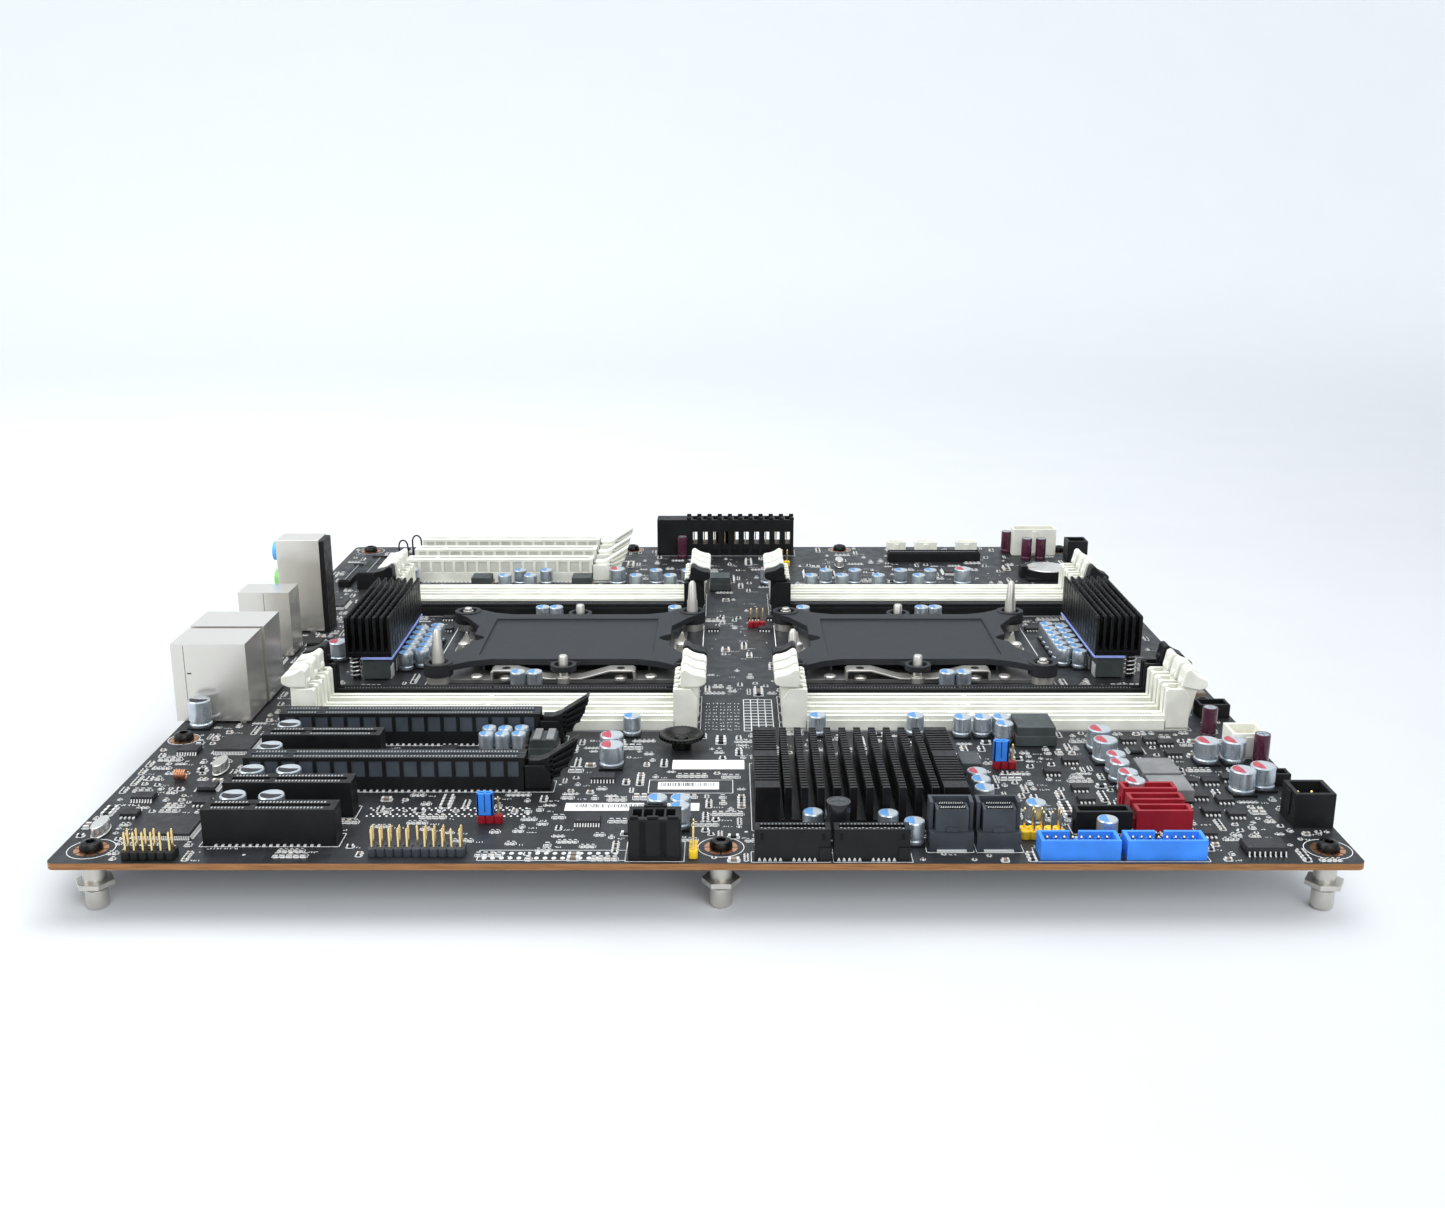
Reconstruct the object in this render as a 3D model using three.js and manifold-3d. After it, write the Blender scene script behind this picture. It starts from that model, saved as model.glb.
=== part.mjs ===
// Workstation motherboard with two processor sockets, four memory banks and eight expansion slots.
//
// Row frame: millimetres, +Z up. The origin is on the plane that the standoff feet stand on, under
// the middle of the whole object, rear ports included. +X runs along the expansion slots, away from
// the rear ports. +Y runs from the drive connectors' edge to the main power connector's edge.
//
// Every part below is placed in board coordinates instead: X and Y are measured from the board's
// front left corner, and Z from the board's top face. One group moves them all to the row frame.

import * as THREE from "three";
import { mergeVertices } from "three/addons/utils/BufferGeometryUtils.js";
import Module from "manifold-3d";

const wasm = await Module();
wasm.setup();

// Driving dimensions ------------------------------------------------------------------------

const BOARD = { width: 375.5, depth: 380, thick: 2, corner: 2.5, portOverhang: 2 };
const STANDOFF = {
  length: 16.4, radius: 3.3, flangeAcross: 10, flangeThick: 1.6, flangeAt: 0.45, boltRadius: 1.6,
};
const SCREW = { headRadius: 3.4, crownRadius: 2.9, height: 2.6, driveRadius: 1.3, driveFloor: 1.2 };
const HOLE_RADIUS = 2;
const FIXINGS = [[9.6, 9.7], [192.3, 11], [368, 9.7], [9.6, 371], [366, 371]];
const PLAIN_HOLES = [[6, 98.7], [369, 133.6], [145.2, 373.7], [252.6, 373.7]];

const SLOT = {
  left: 41.2, front: 15.9, pitch: 20.32, width: 7.5, height: 11.25, shortLength: 39, longLength: 89,
  keyAt: 14.4, keyWidth: 1.9, groove: 1.7, grooveDepth: 7.5, cheek: 1.1, cheekReach: 8, cheekHeight: 8.4,
};
const REAR_SLOT_FRONT = 312.5;
const LEVER = { width: 4.6, gap: 1 };

const BANK = {
  length: 142.1, pitch: 9.4, width: 6.8, bar: 5.2, groove: 1.6, grooveDepth: 3.6, count: 4,
  tower: 8.4, towerBack: 1.6, towerHeight: 15.2, cheek: 1.1, link: 2, linkHeight: 1.2, socketInset: 12,
};
const BANK_PLACES = [[41.5, 107.6], [213.8, 107.6], [41.5, 251.2], [213.8, 251.2]];
const CATCH = {
  height: 22.4, headFrom: 15.6, headWidth: 6.6, headIn: 5.6, overhang: 3.2, stemIn: 5.4, stemOut: -0.6,
  pivotIn: 3.4, pivotUp: 4.2, leftOpen: 12,
};

const CPU = {
  centres: [[131.3, 195.5], [267.2, 195.5]],
  postX: 48, postY: 35.5, postTop: 21.5, nutTop: 9.6, studTop: 11,
  plateX: 46, plateY: 37, windowX: 32, windowY: 25, plateThick: 3, rail: 5.2,
  bossRadius: 4.6, guideRadius: 2.4, guideTip: 1.2, guideShoulder: 12, nutRadius: 2.3, studRadius: 1.8,
};
const COVER = {
  halfX: 40, halfY: 31, under: 5.4, thick: 2.6, earOuter: 5.6, earInner: 3.4, earDrop: 0.1, earRise: 0.4,
  scoopRadius: 5, scoopAt: -3, recessX: 34, recessFront: 25.4, recessBack: 24.4, recessDepth: 0.6,
};
const SOCKET = { halfX: 29, halfY: 22.5, height: 4.6, wellX: 24, wellY: 18, wellDepth: 1.2 };

const CHIPSET = {
  x: 202.4, y: 23.4, width: 63.4, depth: 52, base: 3.2, height: 13.6, columns: 12, wide: 7.4,
};
const REGULATOR = {
  places: [[47.5, 162], [335.8, 164]], width: 17.6, depth: 60, under: 9.3, base: 2, height: 25.3, fins: 5,
  finThick: 1.1, pinRadius: 1.5, pinInset: 3,
};

const PORT_STACKS = [
  {
    name: "network_port_1", x: -2, y: 115.3, width: 26.4, depth: 19.5, height: 29.3,
    mouths: [[3, 14], [17, 27]],
  },
  {
    name: "network_port_2", x: -2, y: 136.4, width: 27, depth: 19.5, height: 29.6,
    mouths: [[3, 14], [17, 27]],
  },
  {
    name: "usb_port_stack", x: -2, y: 192, width: 20.5, depth: 14, height: 27,
    mouths: [[2, 9], [10.5, 17.5], [19, 25.6]],
  },
  { name: "audio_jack_stack", x: 4.5, y: 226, width: 20, depth: 13.2, height: 40.4, mouths: [] },
];
const JACK = { heights: [10.3, 22.3, 34.3], radius: 4, bore: 1.8, reach: 2.6, boreDepth: 12 };

const EDGE_FRONT = 1.8;
const MAIN_POWER = {
  box: [158.6, 228, 361.5, 371.6], height: 18.6, cells: 10, pitch: 5.24, rib: 2.2, end: 1.2,
};
const STORAGE_LEFTS = [201.9, 224.5];
const CABLE_PORT = {
  lefts: [252.6, 266.2], front: 8.3, width: 12.6, depth: 8.6, ledge: 5.6, core: 12.7, height: 14, wall: 1,
  coreInset: 1.6, coreFront: 0.8, coreDepth: 5.2, cheekFront: 3,
  grooveAt: 3, grooveWidth: 1, grooveFloor: 9,
};
const USB_HEADER_LEFTS = [283.4, 308];
const BLACK_DRIVE_PORT = [297.4, 21];
const RED_DRIVE_PORTS = [[315.6, 21.8], [315.6, 30.4], [315.6, 39]];
const JUMPER_CAPS = [[118.8, 27.4], [281.4, 71]];
const HAND_SCREW = [178.6, 90.5];

// Looks -------------------------------------------------------------------------------------

function look(color, roughness, metalness = 0) {
  return new THREE.MeshStandardMaterial({ color, roughness, metalness });
}

const LOOKS = {
  board: look(0x1c1e20, 0.5),
  blackPlastic: look(0x141414, 0.55),
  greyPlastic: look(0x3a3d42, 0.5),
  whitePlastic: look(0xeeeede, 0.5),
  bluePlastic: look(0x2a6fd6, 0.5),
  redPlastic: look(0x9c1626, 0.45),
  blackMetal: look(0x101010, 0.45, 0.4),
  steel: look(0xb8b6b0, 0.3, 0.9),
  nickel: look(0xc8c4ba, 0.3, 0.9),
};

// Joining and cutting -----------------------------------------------------------------------

function solidOf(geometry) {
  const bare = geometry.index ? geometry.toNonIndexed() : geometry;
  bare.deleteAttribute("normal");
  bare.deleteAttribute("uv");
  const merged = mergeVertices(bare, 1e-4);
  return new wasm.Manifold(new wasm.Mesh({
    numProp: 3,
    vertProperties: new Float32Array(merged.attributes.position.array),
    triVerts: new Uint32Array(merged.index.array),
  }));
}

function geometryOf(solid) {
  const { vertProperties, triVerts } = solid.getMesh();
  const geometry = new THREE.BufferGeometry();
  geometry.setAttribute("position", new THREE.BufferAttribute(vertProperties, 3));
  geometry.setIndex(new THREE.BufferAttribute(triVerts, 1));
  const flat = geometry.toNonIndexed();
  flat.computeVertexNormals();
  return flat;
}

const join = (first, ...others) => others.reduce((whole, piece) => whole.add(piece), first);
const cut = (first, ...others) => others.reduce((whole, piece) => whole.subtract(piece), first);

// Basic shapes, all in board coordinates ----------------------------------------------------

function block(x0, x1, y0, y1, z0, z1) {
  const geometry = new THREE.BoxGeometry(x1 - x0, y1 - y0, z1 - z0);
  geometry.translate((x0 + x1) / 2, (y0 + y1) / 2, (z0 + z1) / 2);
  return solidOf(geometry);
}

function post(x, y, z0, z1, bottomRadius, topRadius = bottomRadius, sides = 10) {
  const geometry = new THREE.CylinderGeometry(topRadius, bottomRadius, z1 - z0, sides);
  geometry.rotateX(Math.PI / 2);
  geometry.translate(x, y, (z0 + z1) / 2);
  return solidOf(geometry);
}

function rodAlongX(x0, x1, y, z, radius, sides = 12) {
  const geometry = new THREE.CylinderGeometry(radius, radius, x1 - x0, sides);
  geometry.rotateZ(Math.PI / 2);
  geometry.translate((x0 + x1) / 2, y, z);
  return solidOf(geometry);
}

// A plate whose outline lies in XY, from z0 up to z1.
function plate(shape, z0, z1, curveSegments = 6) {
  const geometry = new THREE.ExtrudeGeometry(shape, { depth: z1 - z0, bevelEnabled: false, curveSegments });
  geometry.translate(0, 0, z0);
  return solidOf(geometry);
}

// A slab whose outline is drawn in XZ, as [x, z] points, from y0 to y1.
function profile(points, y0, y1) {
  const shape = new THREE.Shape(points.map(([x, z]) => new THREE.Vector2(x, z)));
  const geometry = new THREE.ExtrudeGeometry(shape, { depth: y1 - y0, bevelEnabled: false });
  geometry.rotateX(Math.PI / 2);
  geometry.translate(0, y1, 0);
  return solidOf(geometry);
}

const board = new THREE.Group();
board.position.set((BOARD.portOverhang - BOARD.width) / 2, -BOARD.depth / 2, STANDOFF.length + BOARD.thick);

function add(name, solid, material) {
  const mesh = new THREE.Mesh(geometryOf(solid), material);
  mesh.name = name;
  board.add(mesh);
}

// Circuit board and its standoffs -----------------------------------------------------------

function roundedRectangle(width, depth, radius) {
  const shape = new THREE.Shape();
  shape.moveTo(radius, 0);
  shape.lineTo(width - radius, 0);
  shape.absarc(width - radius, radius, radius, -Math.PI / 2, 0, false);
  shape.lineTo(width, depth - radius);
  shape.absarc(width - radius, depth - radius, radius, 0, Math.PI / 2, false);
  shape.lineTo(radius, depth);
  shape.absarc(radius, depth - radius, radius, Math.PI / 2, Math.PI, false);
  shape.lineTo(0, radius);
  shape.absarc(radius, radius, radius, Math.PI, 1.5 * Math.PI, false);
  return shape;
}

function addCircuitBoard() {
  const outline = roundedRectangle(BOARD.width, BOARD.depth, BOARD.corner);
  for (const [x, y] of [...FIXINGS, ...PLAIN_HOLES]) {
    const hole = new THREE.Path();
    hole.absarc(x, y, HOLE_RADIUS, 0, 2 * Math.PI, true);
    outline.holes.push(hole);
  }
  add("circuit_board", plate(outline, -BOARD.thick, 0, 4), LOOKS.board);
}

// A standoff with its hexagonal flange, and the board screw run home into it.
function addStandoff(name, [x, y]) {
  const under = -BOARD.thick;
  const foot = under - STANDOFF.length;
  const flangeTop = under - STANDOFF.length * STANDOFF.flangeAt;
  const flangeRadius = STANDOFF.flangeAcross / Math.sqrt(3);
  const body = join(
    post(x, y, foot, under, STANDOFF.radius),
    post(x, y, flangeTop - STANDOFF.flangeThick, flangeTop, flangeRadius, flangeRadius, 6),
    post(x, y, under - 1, 0.1, STANDOFF.boltRadius),
    post(x, y, 0, SCREW.height, SCREW.headRadius, SCREW.crownRadius),
  );
  const drive = post(x, y, SCREW.driveFloor, SCREW.height + 0.1, SCREW.driveRadius, SCREW.driveRadius, 6);
  add(name, cut(body, drive), LOOKS.nickel);
}

// Expansion slots ---------------------------------------------------------------------------

function addSlot(name, centreY, length, material, latched) {
  const right = SLOT.left + length;
  const y0 = centreY - SLOT.width / 2;
  const y1 = centreY + SLOT.width / 2;
  const key = SLOT.left + SLOT.keyAt;
  const cutTop = SLOT.height + 1;
  const cutFloor = SLOT.height - SLOT.grooveDepth;
  const groove = (x0, x1) => block(
    x0, x1, centreY - SLOT.groove / 2, centreY + SLOT.groove / 2, cutFloor, cutTop,
  );
  let body = cut(
    block(SLOT.left, right, y0, y1, 0, SLOT.height),
    groove(SLOT.left + 2, key - SLOT.keyWidth / 2),
    groove(key + SLOT.keyWidth / 2, right - 2),
  );
  if (latched) {
    const reach = right + SLOT.cheekReach;
    body = join(
      body,
      block(right - 0.5, reach, y0, y1, 0, 1),
      block(right - 0.5, reach, y0, y0 + SLOT.cheek, 0, SLOT.cheekHeight),
      block(right - 0.5, reach, y1 - SLOT.cheek, y1, 0, SLOT.cheekHeight),
    );
  }
  add(name, body, material);
}

// The card latch at the far end of a long slot: a heel between the cheeks and a thumb lever.
function addSlotLatch(name, centreY, material) {
  const heel = SLOT.left + SLOT.longLength + LEVER.gap;
  const outline = [
    [heel + 0.8, 2.2], [heel + 5, 2.2], [heel + 9.6, 4.6], [heel + 14, 9.8], [heel + 15.8, 15.4],
    [heel + 15.8, 17.2], [heel + 14.6, 17.2], [heel + 7, 11.4], [heel + 3.4, 9.8], [heel, 9.8], [heel, 4],
  ];
  add(name, profile(outline, centreY - LEVER.width / 2, centreY + LEVER.width / 2), material);
}

// Memory banks ------------------------------------------------------------------------------

function bankRow(frontY, index) {
  return frontY + index * BANK.pitch;
}

// One socket: a low bar with a card groove, and a tower at each end that is open outwards.
function memorySocket(leftX, y0) {
  const y1 = y0 + BANK.width;
  const mid = (y0 + y1) / 2;
  const rightX = leftX + BANK.length;
  const innerLeft = leftX + BANK.tower;
  const innerRight = rightX - BANK.tower;
  const slit = [mid - BANK.groove / 2, mid + BANK.groove / 2];
  const tower = (outer, inner) => {
    const outwards = Math.sign(outer - inner);
    const pocket = [inner + outwards * BANK.towerBack, outer + outwards].sort((a, b) => a - b);
    const [x0, x1] = [outer, inner].sort((a, b) => a - b);
    return cut(
      block(x0, x1, y0, y1, 0, BANK.towerHeight),
      block(...pocket, y0 + BANK.cheek, y1 - BANK.cheek, 1, BANK.towerHeight + 1),
      block(x0 - 1, x1 + 1, ...slit, BANK.bar, BANK.towerHeight + 1),
    );
  };
  const bar = cut(
    block(innerLeft - 0.5, innerRight + 0.5, y0, y1, 0, BANK.bar),
    block(innerLeft - 1, innerRight + 1, ...slit, BANK.bar - BANK.grooveDepth, BANK.bar + 1),
  );
  return join(bar, tower(leftX, innerLeft), tower(rightX, innerRight));
}

function addMemoryBank(name, [leftX, frontY]) {
  const rows = Array.from(
    { length: BANK.count },
    (_, index) => memorySocket(leftX, bankRow(frontY, index)),
  );
  const depth = (BANK.count - 1) * BANK.pitch + BANK.width;
  for (const x of [leftX + BANK.socketInset, leftX + BANK.length - BANK.socketInset - BANK.link]) {
    rows.push(block(x, x + BANK.link, frontY, frontY + depth, 0, BANK.linkHeight));
  }
  add(name, join(...rows), LOOKS.whitePlastic);
}

// The four catches at one end of a bank, tied by a thin bar behind their hinge line. They swing
// outwards about their pivot, and openBy is how many degrees open they stand at rest.
function addCatches(name, outerX, frontY, side, openBy) {
  const turn = openBy * Math.PI / 180;
  const at = (inwards, up) => {
    const [along, above] = [inwards - CATCH.pivotIn, up - CATCH.pivotUp];
    return [
      outerX + side * (CATCH.pivotIn + along * Math.cos(turn) - above * Math.sin(turn)),
      CATCH.pivotUp + along * Math.sin(turn) + above * Math.cos(turn),
    ];
  };
  const ordered = (points) => (side > 0 ? points : [...points].reverse());
  const { stemIn, stemOut, headFrom, headIn, height, overhang } = CATCH;
  const stem = ordered([
    at(1.8, 1.9), at(stemIn - 0.4, 1.9), at(stemIn, 3), at(stemIn, headFrom + 1), at(stemOut, headFrom + 1),
    at(stemOut, 4.8), at(stemOut - 1.4, 4.8), at(stemOut - 1.4, 3.6), at(stemOut, 3.6),
  ]);
  const head = ordered([
    at(-overhang, headFrom + 1.2), at(stemOut, headFrom + 0.2), at(headIn, headFrom + 0.2),
    at(headIn, height - 1), at(headIn - 1.6, height), at(-overhang, headFrom + 4.2),
  ]);
  const bar = ordered([
    at(stemOut - 1.4, 3.6), at(stemOut - 0.3, 3.6), at(stemOut - 0.3, 4.8), at(stemOut - 1.4, 4.8),
  ]);
  const stemInset = BANK.cheek + 0.3;
  const headInset = (BANK.width - CATCH.headWidth) / 2;
  const depth = (BANK.count - 1) * BANK.pitch + BANK.width;
  const pieces = [profile(bar, frontY + stemInset + 0.2, frontY + depth - stemInset - 0.2)];
  for (let index = 0; index < BANK.count; index += 1) {
    const y0 = bankRow(frontY, index);
    const y1 = y0 + BANK.width;
    pieces.push(profile(stem, y0 + stemInset, y1 - stemInset));
    pieces.push(profile(head, y0 + headInset, y1 - headInset));
  }
  add(name, join(...pieces), LOOKS.whitePlastic);
}

// Processor sockets -------------------------------------------------------------------------

function rectangle(cx, cy, halfX, halfY) {
  const shape = new THREE.Shape();
  shape.moveTo(cx - halfX, cy - halfY);
  shape.lineTo(cx + halfX, cy - halfY);
  shape.lineTo(cx + halfX, cy + halfY);
  shape.lineTo(cx - halfX, cy + halfY);
  shape.closePath();
  return shape;
}

const corners = ([cx, cy]) => [[-1, -1], [1, 1], [-1, 1], [1, -1]].map(([sx, sy], index) => ({
  x: cx + sx * CPU.postX, y: cy + sy * CPU.postY, sx, sy, tall: index < 2,
}));

// The loading frame: a plate round the socket with two tall guide posts, two short nuts and two studs.
function addLoadingFrame(name, centre) {
  const [cx, cy] = centre;
  const outline = rectangle(cx, cy, CPU.plateX, CPU.plateY);
  outline.holes.push(rectangle(cx, cy, CPU.windowX, CPU.windowY));
  const pieces = [plate(outline, 0, CPU.plateThick)];
  for (const { x, y, tall } of corners(centre)) {
    pieces.push(post(x, y, 0, CPU.rail, CPU.bossRadius));
    if (tall) {
      pieces.push(post(x, y, CPU.rail - 0.1, CPU.guideShoulder, CPU.guideRadius));
      pieces.push(post(x, y, CPU.guideShoulder - 0.1, CPU.postTop, CPU.guideRadius, CPU.guideTip));
    } else {
      pieces.push(post(x, y, CPU.rail - 0.1, CPU.nutTop, CPU.nutRadius));
    }
  }
  for (const sy of [-1, 1]) {
    pieces.push(post(cx, cy + sy * CPU.postY, 0, CPU.studTop, CPU.studRadius));
  }
  add(name, join(...pieces), LOOKS.steel);
}

function addProcessorSocket(name, [cx, cy]) {
  const body = cut(
    block(cx - SOCKET.halfX, cx + SOCKET.halfX, cy - SOCKET.halfY, cy + SOCKET.halfY, 0, SOCKET.height),
    block(cx - SOCKET.wellX, cx + SOCKET.wellX, cy - SOCKET.wellY, cy + SOCKET.wellY,
      SOCKET.height - SOCKET.wellDepth, SOCKET.height + 1),
  );
  add(name, body, LOOKS.blackPlastic);
}

// The lift-off dust cover: a plate with an ear round each corner post and each middle stud.
function addDustCover(name, centre) {
  const [cx, cy] = centre;
  const top = COVER.under + COVER.thick;
  const ears = corners(centre).map(({ x, y }) => [x, y]);
  ears.push([cx, cy - CPU.postY], [cx, cy + CPU.postY]);
  let body = plate(rectangle(cx, cy, COVER.halfX, COVER.halfY), COVER.under, top);
  for (const { x, y, sx, sy } of corners(centre)) {
    const arm = new THREE.Shape([
      new THREE.Vector2(x - sx * 22, cy + sy * (COVER.halfY - 1)),
      new THREE.Vector2(x - sx * 3, y + sy * 4),
      new THREE.Vector2(x + sx * 2, y - sy * 4),
      new THREE.Vector2(cx + sx * (COVER.halfX - 1), y - sy * 17),
    ]);
    body = join(body, plate(arm, COVER.under, top));
  }
  for (const [x, y] of ears) {
    body = join(body, post(x, y, COVER.under - COVER.earDrop, top + COVER.earRise, COVER.earOuter));
  }
  for (const [x, y] of ears) {
    body = cut(body, post(x, y, 0, top + 2, COVER.earInner));
  }
  for (const sx of [-1, 1]) {
    body = cut(body, post(cx + sx * COVER.halfX, cy + COVER.scoopAt, 0, top + 1, COVER.scoopRadius));
  }
  const recess = block(
    cx - COVER.recessX, cx + COVER.recessX, cy - COVER.recessFront, cy + COVER.recessBack,
    top - COVER.recessDepth, top + 1,
  );
  add(name, cut(body, recess), LOOKS.blackPlastic);
}

// Heatsinks ---------------------------------------------------------------------------------

function addChipsetHeatsink() {
  const { x, y, width, depth, base, height, columns, wide } = CHIPSET;
  const pieces = [block(x, x + width, y, y + depth, 0.3, base)];
  const inner = (width - 2 * wide) / (columns - 2);
  for (let index = 0; index < columns; index += 1) {
    const isEnd = index === 0 || index === columns - 1;
    const fin = isEnd ? wide - 1.6 : inner * 0.5;
    const left = index === 0 ? x : x + wide + (index - 1) * inner + inner * 0.25;
    const start = index === columns - 1 ? x + width - fin : left;
    pieces.push(block(start, start + fin, y, y + depth, base - 0.1, height));
  }
  const [middleX, middleY] = [x + width / 2, y + depth / 2];
  pieces.push(block(middleX - 12, middleX + 12, middleY - 12, middleY + 12, 0, 0.4));
  add("chipset_heatsink", join(...pieces), LOOKS.blackMetal);
}

function addRegulatorHeatsink(name, [x, y], pinSide) {
  const { width, depth, under, base, height, fins, finThick, pinRadius, pinInset } = REGULATOR;
  const pieces = [block(x, x + width, y, y + depth, under, under + base)];
  for (let index = 0; index < fins; index += 1) {
    const left = x + index * (width - finThick) / (fins - 1);
    pieces.push(block(left, left + finThick, y, y + depth, under + base - 0.1, height));
  }
  const pinX = pinSide < 0 ? x + pinInset : x + width - pinInset;
  for (const pinY of [y + pinInset, y + depth - pinInset]) {
    pieces.push(post(pinX, pinY, 0, under + 0.1, pinRadius, pinRadius, 10));
  }
  add(name, join(...pieces), LOOKS.blackMetal);
}

// Rear ports --------------------------------------------------------------------------------

function addPortStack({ name, x, y, width, depth, height, mouths }) {
  let shell = block(x, x + width, y, y + depth, 0, height);
  for (const [z0, z1] of mouths) {
    shell = cut(shell, block(x - 1, x + 13, y + 1.6, y + depth - 1.6, z0, z1));
  }
  add(name, shell, LOOKS.steel);
}

function addAudioStack({ name, x, y, width, depth, height }) {
  const mid = y + depth / 2;
  let shell = block(x, x + width, y, y + depth, 0, height);
  for (const z of JACK.heights) {
    shell = join(shell, rodAlongX(x - JACK.reach, x + 1, mid, z, JACK.radius));
  }
  for (const z of JACK.heights) {
    const mouth = x - JACK.reach;
    shell = cut(shell, rodAlongX(mouth - 1, mouth + JACK.boreDepth, mid, z, JACK.bore, 10));
  }
  add(name, shell, LOOKS.steel);
}

// Connectors --------------------------------------------------------------------------------

// An open-topped housing with straight walls.
function openBox(x0, x1, y0, y1, height, wall, floor) {
  return cut(
    block(x0, x1, y0, y1, 0, height),
    block(x0 + wall, x1 - wall, y0 + wall, y1 - wall, floor, height + 1),
  );
}

function addMainPowerConnector() {
  const { box: [x0, x1, y0, y1], height, cells, pitch, rib, end } = MAIN_POWER;
  let body = block(x0, x1, y0, y1, 0, height);
  for (let index = 0; index < cells; index += 1) {
    const left = x1 - end - (index + 1) * pitch + rib;
    const right = left + pitch - rib;
    const window = block(left, right, y0 - 1, y1 + 1, 6, 12.4);
    const socket = block(left, right, y0 + 1.2, y1 - 1.2, 15, height + 1);
    body = cut(body, window, socket);
  }
  add("main_power_connector", body, LOOKS.blackPlastic);
}

function addStorageConnector(name, x0) {
  const x1 = x0 + 21.6;
  const y1 = EDGE_FRONT + 5.2;
  const body = cut(
    block(x0, x1, EDGE_FRONT, y1, 0, 9.7),
    block(x0 + 1.4, x1 - 1.4, EDGE_FRONT + 1.6, y1 - 1.6, 3, 11),
  );
  add(name, body, LOOKS.blackPlastic);
}

// An upright cable port: a core with a contact groove, shrouded at the back and both sides.
function addCablePort(name, x0) {
  const { front, width, depth, ledge, core, height, wall, coreInset, coreFront, coreDepth } = CABLE_PORT;
  const [x1, back, low] = [x0 + width, front + depth, ledge - 0.1];
  const groove = front + CABLE_PORT.grooveAt;
  const middle = block(
    x0 + coreInset, x1 - coreInset, front + coreFront, front + coreFront + coreDepth, low, core,
  );
  const slit = block(
    x0 + 2 * coreInset, x1 - 2 * coreInset, groove, groove + CABLE_PORT.grooveWidth,
    CABLE_PORT.grooveFloor, core + 1,
  );
  add(name, join(
    block(x0, x1, front, back, 0, ledge),
    cut(middle, slit),
    block(x0, x1, back - wall, back, low, height),
    block(x0, x0 + wall, front + CABLE_PORT.cheekFront, back, low, height),
    block(x1 - wall, x1, front + CABLE_PORT.cheekFront, back, low, height),
  ), LOOKS.greyPlastic);
}

// A drive data port: a shell with a tongue standing in a long mouth.
function addDrivePort(name, [x0, y0], material) {
  const [length, depth, height, wall] = [16.7, 5.6, 6.7, 1.1];
  const shell = openBox(x0, x0 + length, y0, y0 + depth, height, wall, 1.4);
  const tongue = block(x0 + 3, x0 + length - 3, y0 + 2.6, y0 + 3.8, 1.3, height - 1.2);
  add(name, join(shell, tongue), material);
}

// A shrouded two-row header: walls, a polarising notch at the back and pins inside.
function addUsbHeader(name, x0) {
  const [length, depth, height, wall, pins] = [22.8, 7.6, 6, 1.1, 8];
  const y0 = 2.2;
  const notch = block(x0 + 9.4, x0 + 12, y0 + depth - wall - 0.5, y0 + depth + 1, 2.6, height + 1);
  const pieces = [cut(openBox(x0, x0 + length, y0, y0 + depth, height, wall, 1.6), notch)];
  for (let index = 0; index < pins; index += 1) {
    for (const row of [2.8, 4.8]) {
      const pinX = x0 + 4.4 + index * 2;
      pieces.push(block(pinX - 0.25, pinX + 0.25, y0 + row - 0.25, y0 + row + 0.25, 1.5, height - 1));
    }
  }
  add(name, join(...pieces), LOOKS.bluePlastic);
}

function addFourPinPower() {
  const [x0, x1, y0, y1, height] = [165.9, 180.9, 2.2, 11.6, 12.6];
  const clip = cut(
    block(x0 + 4.2, x1 - 4.2, y1 - 0.5, y1 + 2.2, 2, height + 0.4),
    block(x0 + 5.2, x1 - 5.2, y1, y1 + 1, 1, height + 1),
  );
  const sockets = [];
  for (let index = 0; index < 4; index += 1) {
    const left = x0 + 1.2 + index * 3.2;
    sockets.push(block(left, left + 2.6, y0 + 2, y1 - 2, 3, height + 1));
  }
  const housing = cut(block(x0, x1, y0, y1, 0, height), ...sockets);
  add("four_pin_power_header", join(housing, clip), LOOKS.blackPlastic);
}

function addSidePowerHeader() {
  const [x0, x1, y0, y1, height] = [363.2, 375.2, 24.6, 36, 10.8];
  const pieces = [openBox(x0, x1, y0, y1, height, 1.3, 2.2)];
  for (let index = 0; index < 4; index += 1) {
    const pinX = x0 + 2.4 + index * 2.4;
    pieces.push(block(pinX - 0.4, pinX + 0.4, y0 + 5.3, y0 + 6.1, 2.1, height - 2));
  }
  add("side_power_header", join(...pieces), LOOKS.blackPlastic);
}

// Loose and turning pieces ------------------------------------------------------------------

// The dished hand screw that holds the board to its tray.
function addHandScrew([x, y]) {
  const body = join(
    post(x, y, 0.3, 2.4, 3.4),
    post(x, y, 2.3, 4.4, 4.2, 7.7, 16),
    post(x, y, 4.3, 5.4, 7.7, 7.7, 16),
  );
  const dish = join(post(x, y, 3.4, 5.5, 2.2, 6.4, 16), block(x - 2.2, x + 2.2, y - 0.4, y + 0.4, 2.6, 4));
  add("tray_hand_screw", cut(body, dish), LOOKS.blackMetal);
}

// A two-way jumper cap, seated on the plastic foot of its pin row.
function addJumperCap(name, [x0, y0]) {
  const [width, depth, foot, height] = [5, 2.5, 2.7, 9.8];
  const hollow = block(x0 + 0.9, x0 + width - 0.9, y0 + 0.9, y0 + depth - 0.9, foot - 1, foot + 5);
  add(name, cut(block(x0, x0 + width, y0, y0 + depth, foot, height), hollow), LOOKS.bluePlastic);
}

// Assembly ----------------------------------------------------------------------------------

addCircuitBoard();
["front_left", "front_middle", "front_right", "back_left", "back_right"].forEach((place, index) => {
  addStandoff(`standoff_${place}`, FIXINGS[index]);
});

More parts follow.
